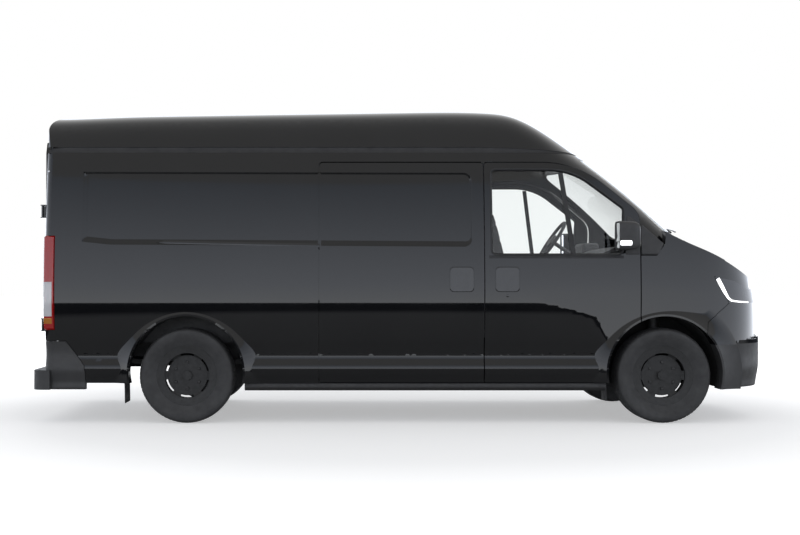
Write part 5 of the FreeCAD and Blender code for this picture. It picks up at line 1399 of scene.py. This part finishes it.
def blended(tree, factor, first, second):
    """Send a mix of two shaders to the output, the first where the factor is 0."""
    mix = tree.nodes.new("ShaderNodeMixShader")
    tree.links.new(factor, mix.inputs["Fac"])
    tree.links.new(first.outputs[0], mix.inputs[1])
    tree.links.new(second.outputs[0], mix.inputs[2])
    tree.links.new(mix.outputs[0], tree.nodes["Material Output"].inputs["Surface"])


def floor_material():
    """Pale studio floor: white to the camera with the object's shadow, dark in the paint's
    reflection beyond the middle of the studio."""
    made, tree, shader = new_material("studio_floor")
    shade(tree, shader, "Base Color", object_noise(tree, 0.6, 3.0), [(0.3, 0.80), (0.8, 0.82)])
    settle(shader, {"Roughness": 0.9, "Emission Color": (1, 1, 1, 1)})
    path = tree.nodes.new("ShaderNodeLightPath")
    reach = tree.nodes.new("ShaderNodeVectorMath")
    reach.operation = "LENGTH"
    tree.links.new(object_place(tree), reach.inputs[0])
    lift = graded(tree, reach.outputs["Value"], *LIFTED_FLOOR, FLOOR_LIFT)
    seen = combine(tree, "MULTIPLY", lift, path.outputs["Is Camera Ray"])
    tree.links.new(seen, shader.inputs["Emission Strength"])
    beyond = graded(tree, reach.outputs["Value"], *DARK_FLOOR)
    share = combine(tree, "MULTIPLY", beyond, path.outputs["Is Glossy Ray"])
    dark = tree.nodes.new("ShaderNodeEmission")
    settle(dark, {"Color": (0.10, 0.11, 0.13, 1), "Strength": 0.5})
    blended(tree, share, shader, dark)
    return made


def wall_material():
    """Bright studio wall, strongest low down and fading towards its top, and clear to the camera
    and through glass."""
    made, tree, shader = new_material("studio_wall")
    tree.nodes.remove(shader)
    glow = tree.nodes.new("ShaderNodeEmission")
    split = tree.nodes.new("ShaderNodeSeparateXYZ")
    tree.links.new(object_place(tree), split.inputs[0])
    shade(tree, glow, "Color", graded(tree, split.outputs["Z"], 0.0, WALL_HEIGHT),
          [(0.0, (0.94, 0.97, 1.0)), (0.25, (0.72, 0.76, 0.84)), (1.0, (0.30, 0.33, 0.38))])
    path = tree.nodes.new("ShaderNodeLightPath")
    level = graded(tree, path.outputs["Is Glossy Ray"], 0.0, 1.0, WALL_LIGHT, WALL_MIRRORED)
    tree.links.new(level, glow.inputs["Strength"])
    seen = combine(tree, "MAXIMUM", path.outputs["Is Camera Ray"], path.outputs["Is Transmission Ray"])
    blended(tree, seen, glow, tree.nodes.new("ShaderNodeBsdfTransparent"))
    return made


def build_stage():
    """Pale floor and a bright wall round the studio: two circles joined by a sheet."""
    far = FLOOR_HALF
    stage_sheet("floor", [(-far, -far, 0), (far, -far, 0), (far, far, 0), (-far, far, 0)],
                [[0, 1, 2, 3]], floor_material())
    count = 96
    x, y = WALL_RADIUS * circle(count).T
    rows = np.concatenate([spots(x, y, 0.0), spots(x, y, WALL_HEIGHT)])
    k = np.arange(count)
    faces = np.stack([k, (k + 1) % count, count + (k + 1) % count, count + k], -1)
    stage_sheet("wall", rows.tolist(), faces.tolist(), wall_material())


def build_world():
    """White background for camera, mirror and glass rays, and a soft dim one for light."""
    world = bpy.data.worlds.new("studio")
    bpy.context.scene.world = world
    world.use_nodes = True
    tree = world.node_tree
    back = tree.nodes["Background"]
    path = tree.nodes.new("ShaderNodeLightPath")
    seen = combine(tree, "MAXIMUM", path.outputs["Is Camera Ray"], path.outputs["Is Glossy Ray"])
    seen = combine(tree, "MAXIMUM", seen, path.outputs["Is Transmission Ray"])
    tree.links.new(graded(tree, seen, 0.0, 1.0, WORLD_LIGHT), back.inputs["Strength"])
    settle(back, {"Color": (1, 1, 1, 1)})


def build_camera():
    """Level camera square to the right side, shifted to the photograph's frame."""
    data = bpy.data.cameras.new("camera")
    data.sensor_width = CAMERA_SENSOR
    data.lens = CAMERA_LENS
    data.shift_x, data.shift_y = CAMERA_SHIFT
    camera = bpy.data.objects.new("camera", data)
    camera.location = CAMERA_PLACE
    camera.rotation_euler = (math.radians(90), 0, 0)
    bpy.context.scene.collection.objects.link(camera)
    bpy.context.scene.camera = camera


build_stage()
build_world()
build_camera()
bpy.context.scene.view_settings.view_transform = "Standard"
